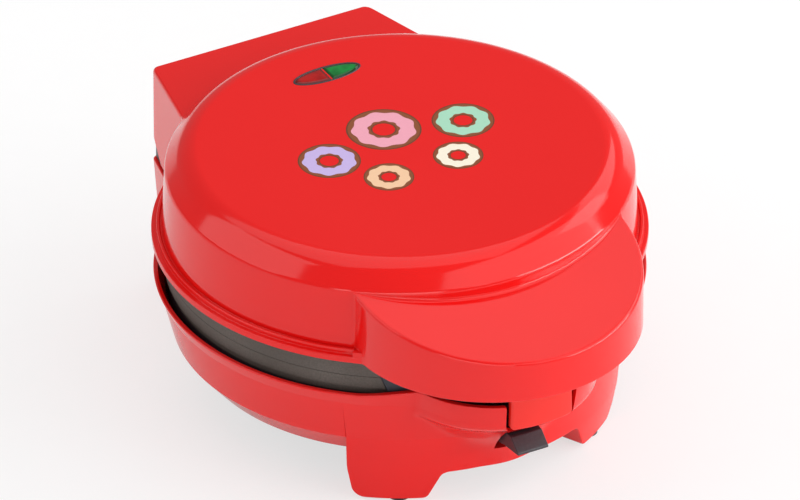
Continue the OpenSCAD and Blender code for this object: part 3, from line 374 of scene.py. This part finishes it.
# Between the hem and the crease the face is a straight line on both the legs and the bowl.
mid_z = np.maximum(np.where(skirted, APRON_Z, 30.0), hem_z + 0.5)
leg_face = LEG_R + (CREASE_R - LEG_R) * (mid_z - APRON_Z) / (CREASE_Z - APRON_Z)
bowl_face = SEAT_OUT + (CREASE_R - SEAT_OUT) * (mid_z - FLOOR_Z) / (CREASE_Z - FLOOR_Z)
mid_r = np.where(skirted, leg_face - side_round, bowl_face)
under_lip_z = np.minimum(60.0, rim_z - 1)
outer = [(RIM_R * ones, rim_z), (LIP_R * ones, rim_z), (115 * ones, under_lip_z),
         (CREASE_R - side_round, CREASE_Z * ones), (mid_r, mid_z), (hem_r, hem_z), (back_r, hem_z),
         (back_r, FLOOR_Z * ones), (FLOOR_HOLE * ones, FLOOR_Z * ones), (FLOOR_HOLE * ones, (FLOOR_Z + WALL) * ones),
         ((SEAT_OUT - 1.5) * ones, (FLOOR_Z + WALL) * ones), ((CREASE_R - WALL) * ones, (CREASE_Z + 0.5) * ones),
         (112.5 * ones, under_lip_z), (RIM_R * ones, rim_z)]
corners = np.stack([np.stack(c, axis=1) for c in outer], axis=1)
line = rounded(corners, [0.7, 2.5, 1.6, 3, 1.0, 0.8, 0.5, 0.3, 0.3, 1, 1, 1], steps=5,
               splits=[0, 3, 12, 4, 4, 0, 0, 0, 0, 0, 0, 8, 2])
# The chin is laid over the bowl: its outside over the rows from the lip down to the hem, and its
# inside over the rows from the floor up to the rim. The lip's and the hem's own arcs are kept.
line_r, line_z = line[:, :, 0], line[:, :, 1]
rows = np.arange(line.shape[1])
LIP_ROWS, HEM_ROW, LAST_OUTER, FIRST_INNER = 7, 48, 54, len(rows) - 33
in_lip, in_hem = (rows > 0) & (rows < LIP_ROWS), (rows >= HEM_ROW) & (rows < LAST_OUTER)
full = np.where(in_lip, LIP_R, np.where(in_hem, hem_r[:, None], line_r))
with_chin = bigger(full, chin_reach(base_angle[:, None], line_z), 2.5) - (full - line_r)
inner_chin = bigger(line_r, chin_reach(base_angle[:, None], line_z, WALL), 2.5)
out_r = np.where((rows > 0) & (rows < LAST_OUTER), with_chin, line_r)
out_r = np.where((rows == 0) | (rows >= FIRST_INNER), inner_chin, out_r)
bowl = skin("base_moulding", turned(out_r, line_z, base_angle)[:, :-1], "base", red_abs,
            loop=True, stands_for=["base_shell"])

# The slot for the lower release button is cut through the cove.
SLOT_X, SLOT_Y, SLOT_Z = (-9.45, 9.45), (-144, -108), (27.1, 42.5)
slot_corners = np.array([(x, y + AXIS_Y, z) for x in SLOT_X for y in SLOT_Y for z in SLOT_Z]) * MM
mesh = bpy.data.meshes.new("slot_tool")
mesh.from_pydata(slot_corners, [], [(0, 1, 3, 2), (4, 6, 7, 5), (0, 4, 5, 1),
                                    (2, 3, 7, 6), (0, 2, 6, 4), (1, 5, 7, 3)])
mesh.materials.append(red_abs)
slot_tool = bpy.data.objects.new("slot_tool", mesh)
bpy.context.scene.collection.objects.link(slot_tool)
slotted = bowl.modifiers.new("slot", "BOOLEAN")
slotted.object, slotted.operation, slotted.solver = slot_tool, "DIFFERENCE", "EXACT"
bowl.modifiers.move(1, 0)
bpy.context.view_layer.objects.active = bowl
with bpy.context.temp_override(object=bowl, active_object=bowl, selected_objects=[bowl]):
    bpy.ops.object.modifier_apply(modifier="slot")
bpy.data.objects.remove(slot_tool)
bowl.data.set_sharp_from_angle(angle=math.radians(38))

# The lower hinge housing is a box moulded onto the back of the bowl; its sides draw in to the floor.
HOUSING_Y, HOUSING_LOW, DRAW_IN = 92.0, 22.0, 0.08


def housing_plan(inset, z):
    """The housing's outline at a height, drawn in by an inset, with rounded back corners: straight
    sides that flare forwards, narrower by DRAW_IN times the depth below the rim."""
    half = BLOCK_HALF - inset - DRAW_IN * (BASE_RIM - z)
    wide = half + BLOCK_FLARE * (BLOCK_BACK - HOUSING_Y)
    back, front, corner = BLOCK_BACK - inset, HOUSING_Y + inset, max(3.5 - inset, 0.5)
    plan = rounded([[[0, front], [wide, front], [half, back], [-half, back], [-wide, front], [0, front]]],
                   [1, corner, corner, 1], steps=6, splits=[1, 8, 6, 8, 1])[0]
    return np.column_stack([plan, np.full(len(plan), z)])


profile = rounded([[[38, HOUSING_LOW], [0, HOUSING_LOW], [0, BASE_RIM], [WALL, BASE_RIM],
                    [WALL, HOUSING_LOW + 4], [38, HOUSING_LOW + 4]]],
                  [1.6, 0.7, 0.3, 1.0], steps=5, splits=[0, 6, 0, 0, 0])[0]
housing = np.stack([housing_plan(inset, z) for inset, z in profile], axis=1)
# Both ends of the profile meet in the floor's middle, which closes it. The front edge stays low
# inside the bowl, where the carrier lies over it.
housing[:, [0, -1], :2] = [0, 112]
housing[:, :, 2] = np.where(housing[:, :, 1] < HOUSING_Y + 1.5, np.minimum(housing[:, :, 2], 38), housing[:, :, 2])
skin("base_hinge_housing", housing[:-1], "base", red_abs, stands_for=["base_shell"])

# Two short square legs stand under the housing, moulded with it.
LEG_X, LEG_Y, LEG_HALF = 44.8, 125.7, 11.0
for side, x in (("left", -LEG_X), ("right", LEG_X)):
    profile = rounded([[[LEG_HALF, FOOT_Z], [0, FOOT_Z], [-0.4, 24.5], [LEG_HALF, 24.5]]], [1.4, 0.3], steps=5)[0]
    leg = []
    for inset, z in profile:
        h = LEG_HALF - inset
        plan = rounded([[[0, -h], [h, -h], [h, h], [-h, h], [-h, -h], [0, -h]]], [min(3, h)] * 4, steps=5)[0]
        leg.append(np.column_stack([plan[:-1] + [x, LEG_Y], np.full(len(plan) - 1, z)]))
    skin("back_leg_" + side, np.stack(leg, axis=1), "base", red_abs, stands_for=["base_shell"])

# ---- Lamp window ----
# Two clear polycarbonate lenses, red for power and green for ready, lie side by side in a thin
# oval bezel of black phenolic that snaps into the lid. Each has a bevel round its low crown.

LAMP_Y, LAMP_W, LAMP_D, HALF_GAP = 72.5, 34.0, 11.0, 0.35


def half_oval(start, shrink):
    """Half of the window's oval from a starting direction, each row drawn in by a length, and
    closed by the straight edge between the two lenses, which is drawn in as far."""
    turn = np.radians(start + np.concatenate([np.linspace(0, 180, 41), np.linspace(180, 360, 9)[1:-1]]))
    side = -1 if start == 90 else 1
    x = side * (LAMP_W / 2 - shrink) * np.cos(turn)[:, None]
    y = (LAMP_D / 2 - shrink) * np.sin(turn)[:, None]
    return side * np.maximum(x, HALF_GAP + shrink), LAMP_Y + y


# The lens in rows from its edge to its middle: how far each is drawn in, its height over the
# table, and its painted glow, which rises where the plastic is thick: painted shade at the bevel and painted light
# through the crown.
drawn_in = np.array([0, 0, 0.15, 0.7, 1.3, 1.7, 2.6, 4.0, 5.5])
rise = np.array([132.6, 132.95, 133.08, 133.28, 133.42, 133.47, 133.52, 133.56, 133.58])
painted_glow = np.array([0, 0, 0, 0.1, 0.6, 1.3, 1.5, 1.6, 1.6])
# Moulded clear polycarbonate, tinted right through. Its colour holds painted light: painted shade at the bevel,
# a painted glow where it is thick, and painted clouds of lamp light every 5 mm or so.
for word, slot, start, deep, bright in (("power", "red_lens", 90, "4a0302", "b00a04"),
                                        ("ready", "green_lens", -90, "03290e", "0c8436")):
    lens, tree, shader, place = finish_named("tinted_polycarbonate_" + word,
                                             {"Roughness": 0.06, "IOR": 1.58, "Specular IOR Level": 0.35})
    # The painted glow of each point and the painted lamp clouds pick the tint between the dark and the bright
    # colour.
    glow_attribute_node = add(tree, "ShaderNodeAttribute", attribute_name="painted_glow")
    painted_lamp_clouds = add(tree, "ShaderNodeTexNoise", {"Vector": place}, {"Scale": marks(5.3), "Detail": 1.0})
    tongue_depth_and_lens_glow = add(tree, "ShaderNodeMath", {0: glow_attribute_node.outputs["Fac"], 1: painted_lamp_clouds.outputs["Fac"]}, {2: 0.12},
                operation="MULTIPLY_ADD")
    shade = add(tree, "ShaderNodeMix", {"Factor": tongue_depth_and_lens_glow.outputs[0]},
                {"A": linear(deep), "B": linear(bright)}, data_type="RGBA")
    tree.links.new(shade.outputs["Result"], shader.inputs["Base Color"])
    x, y = half_oval(start, drawn_in)
    dome = np.stack([x, y, np.broadcast_to(rise, x.shape)], axis=2)
    window = skin(word + "_window", np.concatenate([dome[:, :1] - [0, 0, 0.6], dome], axis=1), "lid", lens,
                  stands_for=[word + "_lens"])
    # Each point gets its share of the painted glow from its height.
    places = np.empty(3 * len(window.data.vertices))
    window.data.vertices.foreach_get("co", places)
    painted_glows = np.interp(places[2::3] / MM, rise, painted_glow)
    window.data.attributes.new("painted_glow", "FLOAT", "POINT").data.foreach_set("value", painted_glows)


def mottled_finish(name, dark, light, apart, detail, sockets, relief=None):
    """A new material whose colour goes between two colours as noise does, with its marks so many
    millimetres apart. Relief, a strength and a depth in millimetres, raises the same marks."""
    material, tree, shader, place = finish_named(name, sockets)
    noise = add(tree, "ShaderNodeTexNoise", {"Vector": place}, {"Scale": marks(apart), "Detail": detail})
    tint = add(tree, "ShaderNodeMix", {"Factor": noise.outputs["Fac"]},
               {"A": linear(dark), "B": linear(light)}, data_type="RGBA")
    tree.links.new(tint.outputs["Result"], shader.inputs["Base Color"])
    if relief:
        raised = add(tree, "ShaderNodeBump", {"Height": noise.outputs["Fac"]},
                     {"Strength": relief[0], "Distance": relief[1] * MM})
        tree.links.new(raised.outputs["Normal"], shader.inputs["Normal"])
    return material


# Moulded phenolic with mineral filler: black with a faint purple-grey bloom and a fine grain. The
# filler's grit is finer than 0.5 mm, and is drawn 1.4 mm apart so that it shows.
phenolic = mottled_finish("moulded_phenolic", "19171c", "3a363d", 1.4, 4.0, {"Roughness": 0.42, "IOR": 1.6},
                          relief=(0.25, 0.2))
# The bezel is a thin moulded oval ring with a rounded upper edge.
ring = rounded([[[0, 132.2], [1.0, 132.2], [1.0, 133.3], [0.0, 133.3], [0, 132.2], [1.0, 132.2]]],
               [0.1, 0.3, 0.3, 0.1], steps=4)[0]
turn = np.radians(np.arange(0, 360, 4))[:, None]
x, y = (LAMP_W / 2 + ring[:, 0]) * np.cos(turn), LAMP_Y + (LAMP_D / 2 + ring[:, 0]) * np.sin(turn)
bezel = np.stack([x, y, np.broadcast_to(ring[:, 1], x.shape)], axis=2)
skin("window_bezel", bezel, "lid", phenolic, stands_for=["lens_bezel"])

# ---- Printed rings on the lid ----
# A pad print on the flat top: a few iced rings in pastel inks, each ink a thin matt film.

# Pad-printing ink: flat and slightly uneven, a tenth darker where the film is thin. The pad's grain
# is a few hundredths of a millimetre, and is drawn 1.1 mm apart so that it shows.
inks = {}
for word, thin, full in (("dough", "844722", "8a4a22"), ("crust", "663217", "6b3517"),
                         ("lavender", "c0acdc", "c9b4e6"), ("mint", "a2d3b8", "a9dcc0"),
                         ("peach", "ebc19b", "f6c9a2"), ("pink", "e79fb0", "f2a6b8"), ("cream", "f0e7d3", "fbf1dc")):
    inks[word] = mottled_finish("pad_print_" + word, thin, full, 1.1, 2.0, {"Roughness": 0.38})


def ring_print(name, x, y, r_in, r_out, wave, lobes, height, ink):
    """A flat ring whose inner and outer radius swing by a wave with so many lobes, as icing does.
    Its film stands a height over the top, and its edges reach just below it."""
    turn = np.linspace(0, 2 * math.pi, 97)[:-1]
    swing = wave * np.cos(lobes * turn)
    hole, rim = r_in - swing * 0.6, r_out + swing
    rows = np.stack([hole, hole + 0.01, rim - 0.01, rim], axis=1)
    z = np.array([TOP - 0.02, TOP + height, TOP + height, TOP - 0.02])
    skin(name, turned(rows, z, turn) + [x, y, 0], "lid", inks[ink])


for k, (x, y, size, icing) in enumerate([(-36, 4, 15, "lavender"), (0, 16, 18, "pink"), (37, 5, 15, "mint"),
                                         (-18, -22, 12, "peach"), (20, -21, 12, "cream")]):
    ring_print(f"print_crust_{k}", x, y, size * 0.30, size, 0, 1, 0.03, "crust")
    ring_print(f"print_dough_{k}", x, y, size * 0.34, size * 0.96, 0, 1, 0.04, "dough")
    ring_print(f"print_icing_{k}", x, y, size * 0.42, size * 0.84, size * 0.035, 9, 0.05, icing)

# ---- Latch ----
# A red tongue, bent like the chin, hangs from a steel pin under the handle and snaps over a bead.
# It is moulded in the same ABS, and its barrel turns on the pin between two ears.

TONGUE_R, TONGUE_T, TONGUE_HALF, TONGUE_LOW, PIN_Y, PIN_Z = 61.3, 3.0, 16.5, 55.9, 139.8, 90.5


def prism(name, outline, half, arcs, body, material, stands_for):
    """A side view of lengths y and heights z carried along x from -half to half, with both ends
    closed, and every sharp edge turned to an arc."""
    n = len(outline)
    left = np.column_stack([np.full(n, -half), outline])
    k = np.arange(n)
    sides = np.stack([k, (k + 1) % n, n + (k + 1) % n, n + k], axis=1).tolist()
    return moulded_piece(name, np.concatenate([left, left + [2 * half, 0, 0]]),
                         sides + [k[::-1].tolist(), (n + k).tolist()], body, material, stands_for, 60, arcs)


# The tongue's own mould is etched a touch: the same red with a softer gloss. The etching's grain
# is 0.7 mm apart, and the colour drifts every 17 mm.
tongue_abs, tree, shader, place = finish_named("satin_red_abs",
                                               {"Roughness": 0.3, "IOR": 1.53, "Specular IOR Level": 0.35})
mottle = add(tree, "ShaderNodeTexNoise", {"Vector": place}, {"Scale": marks(17), "Detail": 2.0})
tint = add(tree, "ShaderNodeMix", {"Factor": mottle.outputs["Fac"]},
           {"A": linear("e6251c"), "B": linear("ea2a20")}, data_type="RGBA")
etch = add(tree, "ShaderNodeTexNoise", {"Vector": place}, {"Scale": marks(0.7), "Detail": 1.0})
relief = add(tree, "ShaderNodeBump", {"Height": etch.outputs["Fac"]}, {"Strength": 0.08, "Distance": 0.1 * MM})
tree.links.new(tint.outputs["Result"], shader.inputs["Base Color"])
tree.links.new(relief.outputs["Normal"], shader.inputs["Normal"])

# The side view, as depths from the outer face and heights, is carried round the tongue's own
# radius. Near both ends an arc of 0.8 mm draws the face in, and one of 2.2 mm lifts the lower edge.
from_end = np.concatenate([[0, 0.15, 0.6], np.linspace(1.5, TONGUE_HALF, 21)])
tongue_x = np.concatenate([from_end - TONGUE_HALF, (TONGUE_HALF - from_end)[-2::-1]])
from_end = TONGUE_HALF - np.abs(tongue_x)
end_in, low_up = rounding(from_end, 0.8), rounding(from_end, 2.2)
side_view = rounded([[[-1.5, 90], [0, 88.5], [0, TONGUE_LOW], [-TONGUE_T, TONGUE_LOW], [-TONGUE_T, 57.4],
                      [-TONGUE_T - 0.6, 58.3], [-TONGUE_T, 59.4], [-TONGUE_T, 89], [-1.5, 90]]],
                    [2, 0.9, 0.7, 0.3, 0.4, 0.3, 0.5], steps=4)[0]
tongue_depth_and_lens_glow = np.clip(side_view[:, 0], -TONGUE_T + end_in[:, None], -end_in[:, None])
z = np.maximum(side_view[:, 1], TONGUE_LOW + low_up[:, None])
x = np.broadcast_to(tongue_x[:, None], z.shape)
tongue = np.stack([x, -CHIN_Y - np.sqrt((TONGUE_R + tongue_depth_and_lens_glow) ** 2 - x ** 2), z], axis=2)
ends = np.broadcast_to(tongue[[0, -1]].mean(axis=1, keepdims=True), (2,) + tongue.shape[1:])
tongue = np.concatenate([ends[:1], tongue, ends[1:]])
skin("latch_tongue", tongue[:, :-1], "latch", tongue_abs, around=False, loop=True, stands_for=["latch"])
turn = np.radians(np.arange(0, 360, 15))
barrel = np.column_stack([-PIN_Y + 3 * np.cos(turn), PIN_Z + 3 * np.sin(turn)])
prism("latch_barrel", barrel, TONGUE_HALF, 0.3, "latch", tongue_abs, ["latch"])

# ---- Release button ----
# The lower release is one black phenolic moulding on a cross pin: a wedge-shaped pad in the slot
# of the cove, and above it a nose that holds the lower plate's lug.

# The pin's place, and the side views about it: the pad's outer face is the wedge's slope.
LEVER_Y, LEVER_Z = 112.5, 50.0
pad = np.array([[-1.5, 0], [-1.5, -10.2], [-5.2, -8.6], [-11.9, -8.8], [-18.5, -14.2], [-18.7, -15.5],
                [-5.3, -17], [-1.5, -18], [1.5, -18], [1.5, 0]])
nose = np.array([[-1.5, 0], [-3.6, 13.4], [3.4, 13.4], [3.4, 11.2], [-1, 11.2], [1.5, 0]])
hub = np.column_stack([3.4 * np.cos(turn), 3.4 * np.sin(turn)])
for word, outline, half, arcs in (("button", pad, 8.25, 0.45), ("nose", nose, 7.2, 0.3), ("hub", hub, 9.65, 0.3)):
    prism("release_" + word, outline + [-LEVER_Y, LEVER_Z], half, arcs, "release_lever",
          phenolic, ["lower_release_lever"])

# ---- Hinge blocks, carriers and other black mouldings ----
# The plate carriers, the hinge inserts, the handle's lower plate, the release slide and the lamp
# holder are moulded in the same black phenolic, and screw or snap into the red mouldings.


def dress(material, *nodes):
    """Gives each named part the material in all its slots."""
    for node in nodes:
        for place in bpy.data.objects[node].material_slots:
            place.material = material


dress(phenolic, "lid_hinge_block", "base_hinge_block", "upper_carrier", "lower_carrier", "handle_plate",
      "upper_release_slide", "lamp_holder")

# ---- Finger guard ----
# A thin curved wall of satin nylon stands between the handle and the hot edge of the plates. It is
# moulded with the pegs that hold it to the handle's lower plate.

# Satin nylon: blue-black, with a soft broad sheen. The mould's spark texture is about 0.1 mm, and
# is drawn 2 mm apart so that it shows.
nylon = mottled_finish("satin_nylon", "1c2029", "272c37", 2.0, 2.0, {"Roughness": 0.45, "IOR": 1.53},
                       relief=(0.1, 0.1))
dress(nylon, "finger_guard")

# ---- Baking plates ----
# Two aluminium castings with six ring moulds each, coated with a grey non-stick film, clip into
# the carriers.

# Sprayed non-stick coating on cast aluminium: warm grey, satin, with fine metallic flecks. The
# flecks are about 0.2 mm, and are drawn 0.9 mm apart; the film's depth drifts every 40 mm.
coating, tree, shader, place = finish_named("nonstick_coated_casting",
                                            {"Roughness": 0.55, "Metallic": 0.1, "Specular IOR Level": 0.35})
fleck = add(tree, "ShaderNodeTexNoise", {"Vector": place}, {"Scale": marks(0.9), "Detail": 3.0})
drift = add(tree, "ShaderNodeTexNoise", {"Vector": place}, {"Scale": marks(40), "Detail": 2.0})
mixed = add(tree, "ShaderNodeMath", {0: fleck.outputs["Fac"], 1: drift.outputs["Fac"]}, {2: 0.1},
            operation="MULTIPLY_ADD")
tint = add(tree, "ShaderNodeMix", {"Factor": mixed.outputs[0]},
           {"A": linear("46403a"), "B": linear("78706a")}, data_type="RGBA")
relief = add(tree, "ShaderNodeBump", {"Height": fleck.outputs["Fac"]}, {"Strength": 0.2, "Distance": 0.2 * MM})
tree.links.new(tint.outputs["Result"], shader.inputs["Base Color"])
tree.links.new(relief.outputs["Normal"], shader.inputs["Normal"])
dress(coating, "upper_plate", "lower_plate")

# ---- Heat pans, clips, screws, pins and springs ----
# Steel parts: pressed bright pans and spring clips, zinc-plated screws, turned pins, drawn wire.

# Each steel: its two colours, its roughness, and how far apart its marks lie in millimetres: the
# heat tints of a pressed pan, the spangle of zinc, and the scale on a heated sheath. Where the
# marks are bright the metal is worn smoother, and where they are dark it is rougher.
steels = {}
for word, dark, light, rough, apart in (("pressed_steel", "a9adb2", "cdd0d4", 0.28, 8.0),
                                        ("zinc_plated_steel", "9ea2a6", "c4c7ca", 0.35, 1.1),
                                        ("oxidised_alloy_sheath", "4a4a4c", "6d6b6a", 0.5, 3.3)):
    steels[word], tree, shader, place = finish_named(word, {"Metallic": 1.0})
    spots = add(tree, "ShaderNodeTexNoise", {"Vector": place}, {"Scale": marks(apart), "Detail": 4.0})
    tint = add(tree, "ShaderNodeMix", {"Factor": spots.outputs["Fac"]},
               {"A": linear(dark), "B": linear(light)}, data_type="RGBA")
    worn = add(tree, "ShaderNodeMapRange", {"Value": spots.outputs["Fac"]},
               {"To Min": rough * 0.8, "To Max": rough * 1.3})
    tree.links.new(tint.outputs["Result"], shader.inputs["Base Color"])
    tree.links.new(worn.outputs["Result"], shader.inputs["Roughness"])
dress(steels["pressed_steel"], "upper_heat_pan", "lower_heat_pan", "upper_plate_clips", "lower_plate_clips",
      "upper_element_clips", "lower_element_clips")
dress(steels["zinc_plated_steel"], "cover_screws", "base_hinge_screws", "lid_hinge_screws", "upper_carrier_screws",
      "lower_carrier_screws", "hinge_pins", "latch_pin", "lever_pin", "lever_spring", "upper_slide_springs")
dress(steels["oxidised_alloy_sheath"], "upper_element", "lower_element")

# ---- Bottom cover, feet and cord gland ----
# A black powder-coated sheet closes the base, four moulded rubber feet are pressed into the legs,
# and a rubber gland lines the hole for the mains cord.

# Powder coat: black, with the shallow orange peel of the baked powder, 1.1 mm apart.
powder = mottled_finish("powder_coated_sheet", "26262a", "36363a", 1.1, 2.0, {"Roughness": 0.5}, relief=(0.3, 0.3))
dress(powder, "bottom_cover")
# Moulded rubber: a dusty charcoal black with no gloss, in smudges 2.9 mm apart.
rubber = mottled_finish("moulded_rubber", "1b1b1d", "2f2f32", 2.9, 3.0, {"Roughness": 0.85})
dress(rubber, "rubber_feet", "cord_gland")

# ---- Electrical pieces ----
# The ceramic thermostat, fuse and terminal block, wires in glass-fibre sleeves, and neon lamps.
# They are screwed or clipped to the pans and carriers, and seen only through the gaps.

# Glazed steatite: cream, with faint iron specks 1.25 mm apart under a thin glaze.
ceramic = mottled_finish("glazed_steatite", "c9bea8", "e9e2d2", 1.25, 5.0, {"Roughness": 0.25})
dress(ceramic, "thermostat", "thermal_fuse", "terminal_block")

# Glass-fibre sleeve: a matt grey braid. Its strands cross every 1.2 mm, and are drawn about 3 mm
# apart so that they show; a wave's bands lie 0.36 of its scale apart.
sleeve, tree, shader, place = finish_named("glass_fibre_sleeve", {"Roughness": 0.7})
braid = add(tree, "ShaderNodeTexWave", {"Vector": place}, {"Scale": 0.36 * marks(2.8), "Distortion": 3.0},
            bands_direction="DIAGONAL")
tint = add(tree, "ShaderNodeMix", {"Factor": braid.outputs["Fac"]},
           {"A": linear("2f2f31"), "B": linear("55555a")}, data_type="RGBA")
tree.links.new(tint.outputs["Result"], shader.inputs["Base Color"])
dress(sleeve, "base_wiring", "lid_wiring")

# Neon lamps: thin clear glass, slightly smoky from the gas fill and the electrodes, 2.5 mm apart.
lamp_glass = mottled_finish("neon_lamp_glass", "c98a55", "e8b98a", 2.5, 2.0,
                            {"Roughness": 0.08, "Transmission Weight": 0.6})
dress(lamp_glass, "signal_lamps")

# ---- Floor, light and camera ----
# A sheet of white paper lies under the machine in a grey room, with six softboxes round it and a
# long lens in front, a little to the left and above.

# White studio paper: matt, with soft fibre clouds every 17 mm. It glows by CAMERA_SHARE to the
# camera and by MIRROR_SHARE to mirrors and glass; the rest is lit, and holds the shadow.
CAMERA_SHARE, MIRROR_SHARE = 0.65, 0.2
paper, tree, shader, place = finish_named("white_studio_paper", {"Roughness": 0.9, "Specular IOR Level": 0.1})
fibre = add(tree, "ShaderNodeTexNoise", {"Vector": place}, {"Scale": marks(17), "Detail": 3.0})
shade = add(tree, "ShaderNodeMix", {"Factor": fibre.outputs["Fac"]},
            {"A": linear("f4f4f4"), "B": linear("f8f8f8")}, data_type="RGBA")
tree.links.new(shade.outputs["Result"], shader.inputs["Base Color"])
ray = add(tree, "ShaderNodeLightPath").outputs
mirrored = add(tree, "ShaderNodeMath", {0: ray["Is Glossy Ray"], 1: ray["Is Transmission Ray"]},
               operation="MAXIMUM")
dim = add(tree, "ShaderNodeMath", {0: mirrored.outputs[0]}, {1: MIRROR_SHARE}, operation="MULTIPLY")
share = add(tree, "ShaderNodeMath", {0: ray["Is Camera Ray"], 2: dim.outputs[0]}, {1: CAMERA_SHARE},
            operation="MULTIPLY_ADD")
white = add(tree, "ShaderNodeEmission", values={"Color": (1, 1, 1, 1), "Strength": 1.0})
both = add(tree, "ShaderNodeMixShader", {0: share.outputs[0], 1: shader.outputs[0], 2: white.outputs[0]})
output = next(node for node in tree.nodes if node.type == "OUTPUT_MATERIAL")
tree.links.new(both.outputs[0], output.inputs["Surface"])
floor_mesh = bpy.data.meshes.new("floor")
floor_mesh.from_pydata([(-6, -6, 0), (6, -6, 0), (6, 6, 0), (-6, 6, 0)], [], [(0, 1, 2, 3)])
floor_mesh.materials.append(paper)
floor = bpy.data.objects.new("floor", floor_mesh)
bpy.context.scene.collection.objects.link(floor)

world = bpy.data.worlds.new("grey_room")
bpy.context.scene.world = world
world.use_nodes = True
tree = world.node_tree
tree.nodes.clear()
room = add(tree, "ShaderNodeBackground", values={"Color": (1, 1, 1, 1), "Strength": 0.3})
add(tree, "ShaderNodeOutputWorld", {"Surface": room.outputs[0]})

# Each softbox: its direction round the machine from the front towards the right and its height
# above the horizon in degrees, its distance, width and height in metres, and how bright its face
# is next to white paper. A face that bright and that large gives so much power.
for name, side, height, far, wide, tall, bright in (("front_right_softbox", 50, 40, 3.4, 6.4, 2.4, 1.3),
                                                   ("right_softbox", 102, 34, 3.4, 3.2, 1.5, 1.3),
                                                   ("strip_softbox", 52, 14, 3.4, 3.2, 0.7, 9.0),
                                                   ("front_softbox", -34, 12, 4.4, 4.0, 1.4, 2.5),
                                                   ("left_softbox", -112, 35, 3.4, 3.0, 2.4, 1.4),
                                                   ("top_softbox", 170, 78, 3.8, 4.0, 4.0, 0.9)):
    lamp = bpy.data.lights.new(name, "AREA")
    lamp.shape, lamp.size, lamp.size_y = "RECTANGLE", wide, tall
    lamp.energy = bright * math.pi * wide * tall
    a, e = math.radians(side), math.radians(height)
    towards = Vector((math.sin(a) * math.cos(e), -math.cos(a) * math.cos(e), math.sin(e)))
    box = bpy.data.objects.new(name, lamp)
    box.location = Vector((0, 0, 0.08)) + towards * far
    box.rotation_euler = towards.to_track_quat("Z", "Y").to_euler()
    bpy.context.scene.collection.objects.link(box)

# The camera looks down from CAMERA_FAR metres away at a point AIM_UP and AIM_RIGHT millimetres
# along the picture's own edges from where the lid's axis meets the table. Its lens puts
# PIXELS_PER_MM pixels of a picture PICTURE pixels wide on a millimetre there.
CAMERA_SIDE, CAMERA_HEIGHT = math.radians(-28.75), math.radians(32.74)
CAMERA_FAR, AIM_UP, AIM_RIGHT = 9.0, 62.15, 0.03
PIXELS_PER_MM, SENSOR, PICTURE = 2.0893, 36, 800
away = np.array([math.sin(CAMERA_SIDE) * math.cos(CAMERA_HEIGHT),
                 -math.cos(CAMERA_SIDE) * math.cos(CAMERA_HEIGHT), math.sin(CAMERA_HEIGHT)])
up = np.array([-math.sin(CAMERA_SIDE) * math.sin(CAMERA_HEIGHT),
               math.cos(CAMERA_SIDE) * math.sin(CAMERA_HEIGHT), math.cos(CAMERA_HEIGHT)])
right = np.array([math.cos(CAMERA_SIDE), math.sin(CAMERA_SIDE), 0])
camera = bpy.data.objects.new("camera", bpy.data.cameras.new("camera"))
camera.data.sensor_width = SENSOR
camera.data.lens = PIXELS_PER_MM * CAMERA_FAR / MM * SENSOR / PICTURE
camera.data.clip_end = 50
camera.location = (up * AIM_UP + right * AIM_RIGHT + np.array([0, AXIS_Y, 0])) * MM + away * CAMERA_FAR
camera.rotation_euler = Vector(away).to_track_quat("Z", "Y").to_euler()
bpy.context.scene.collection.objects.link(camera)
bpy.context.scene.camera = camera
bpy.context.scene.view_settings.view_transform = "Standard"
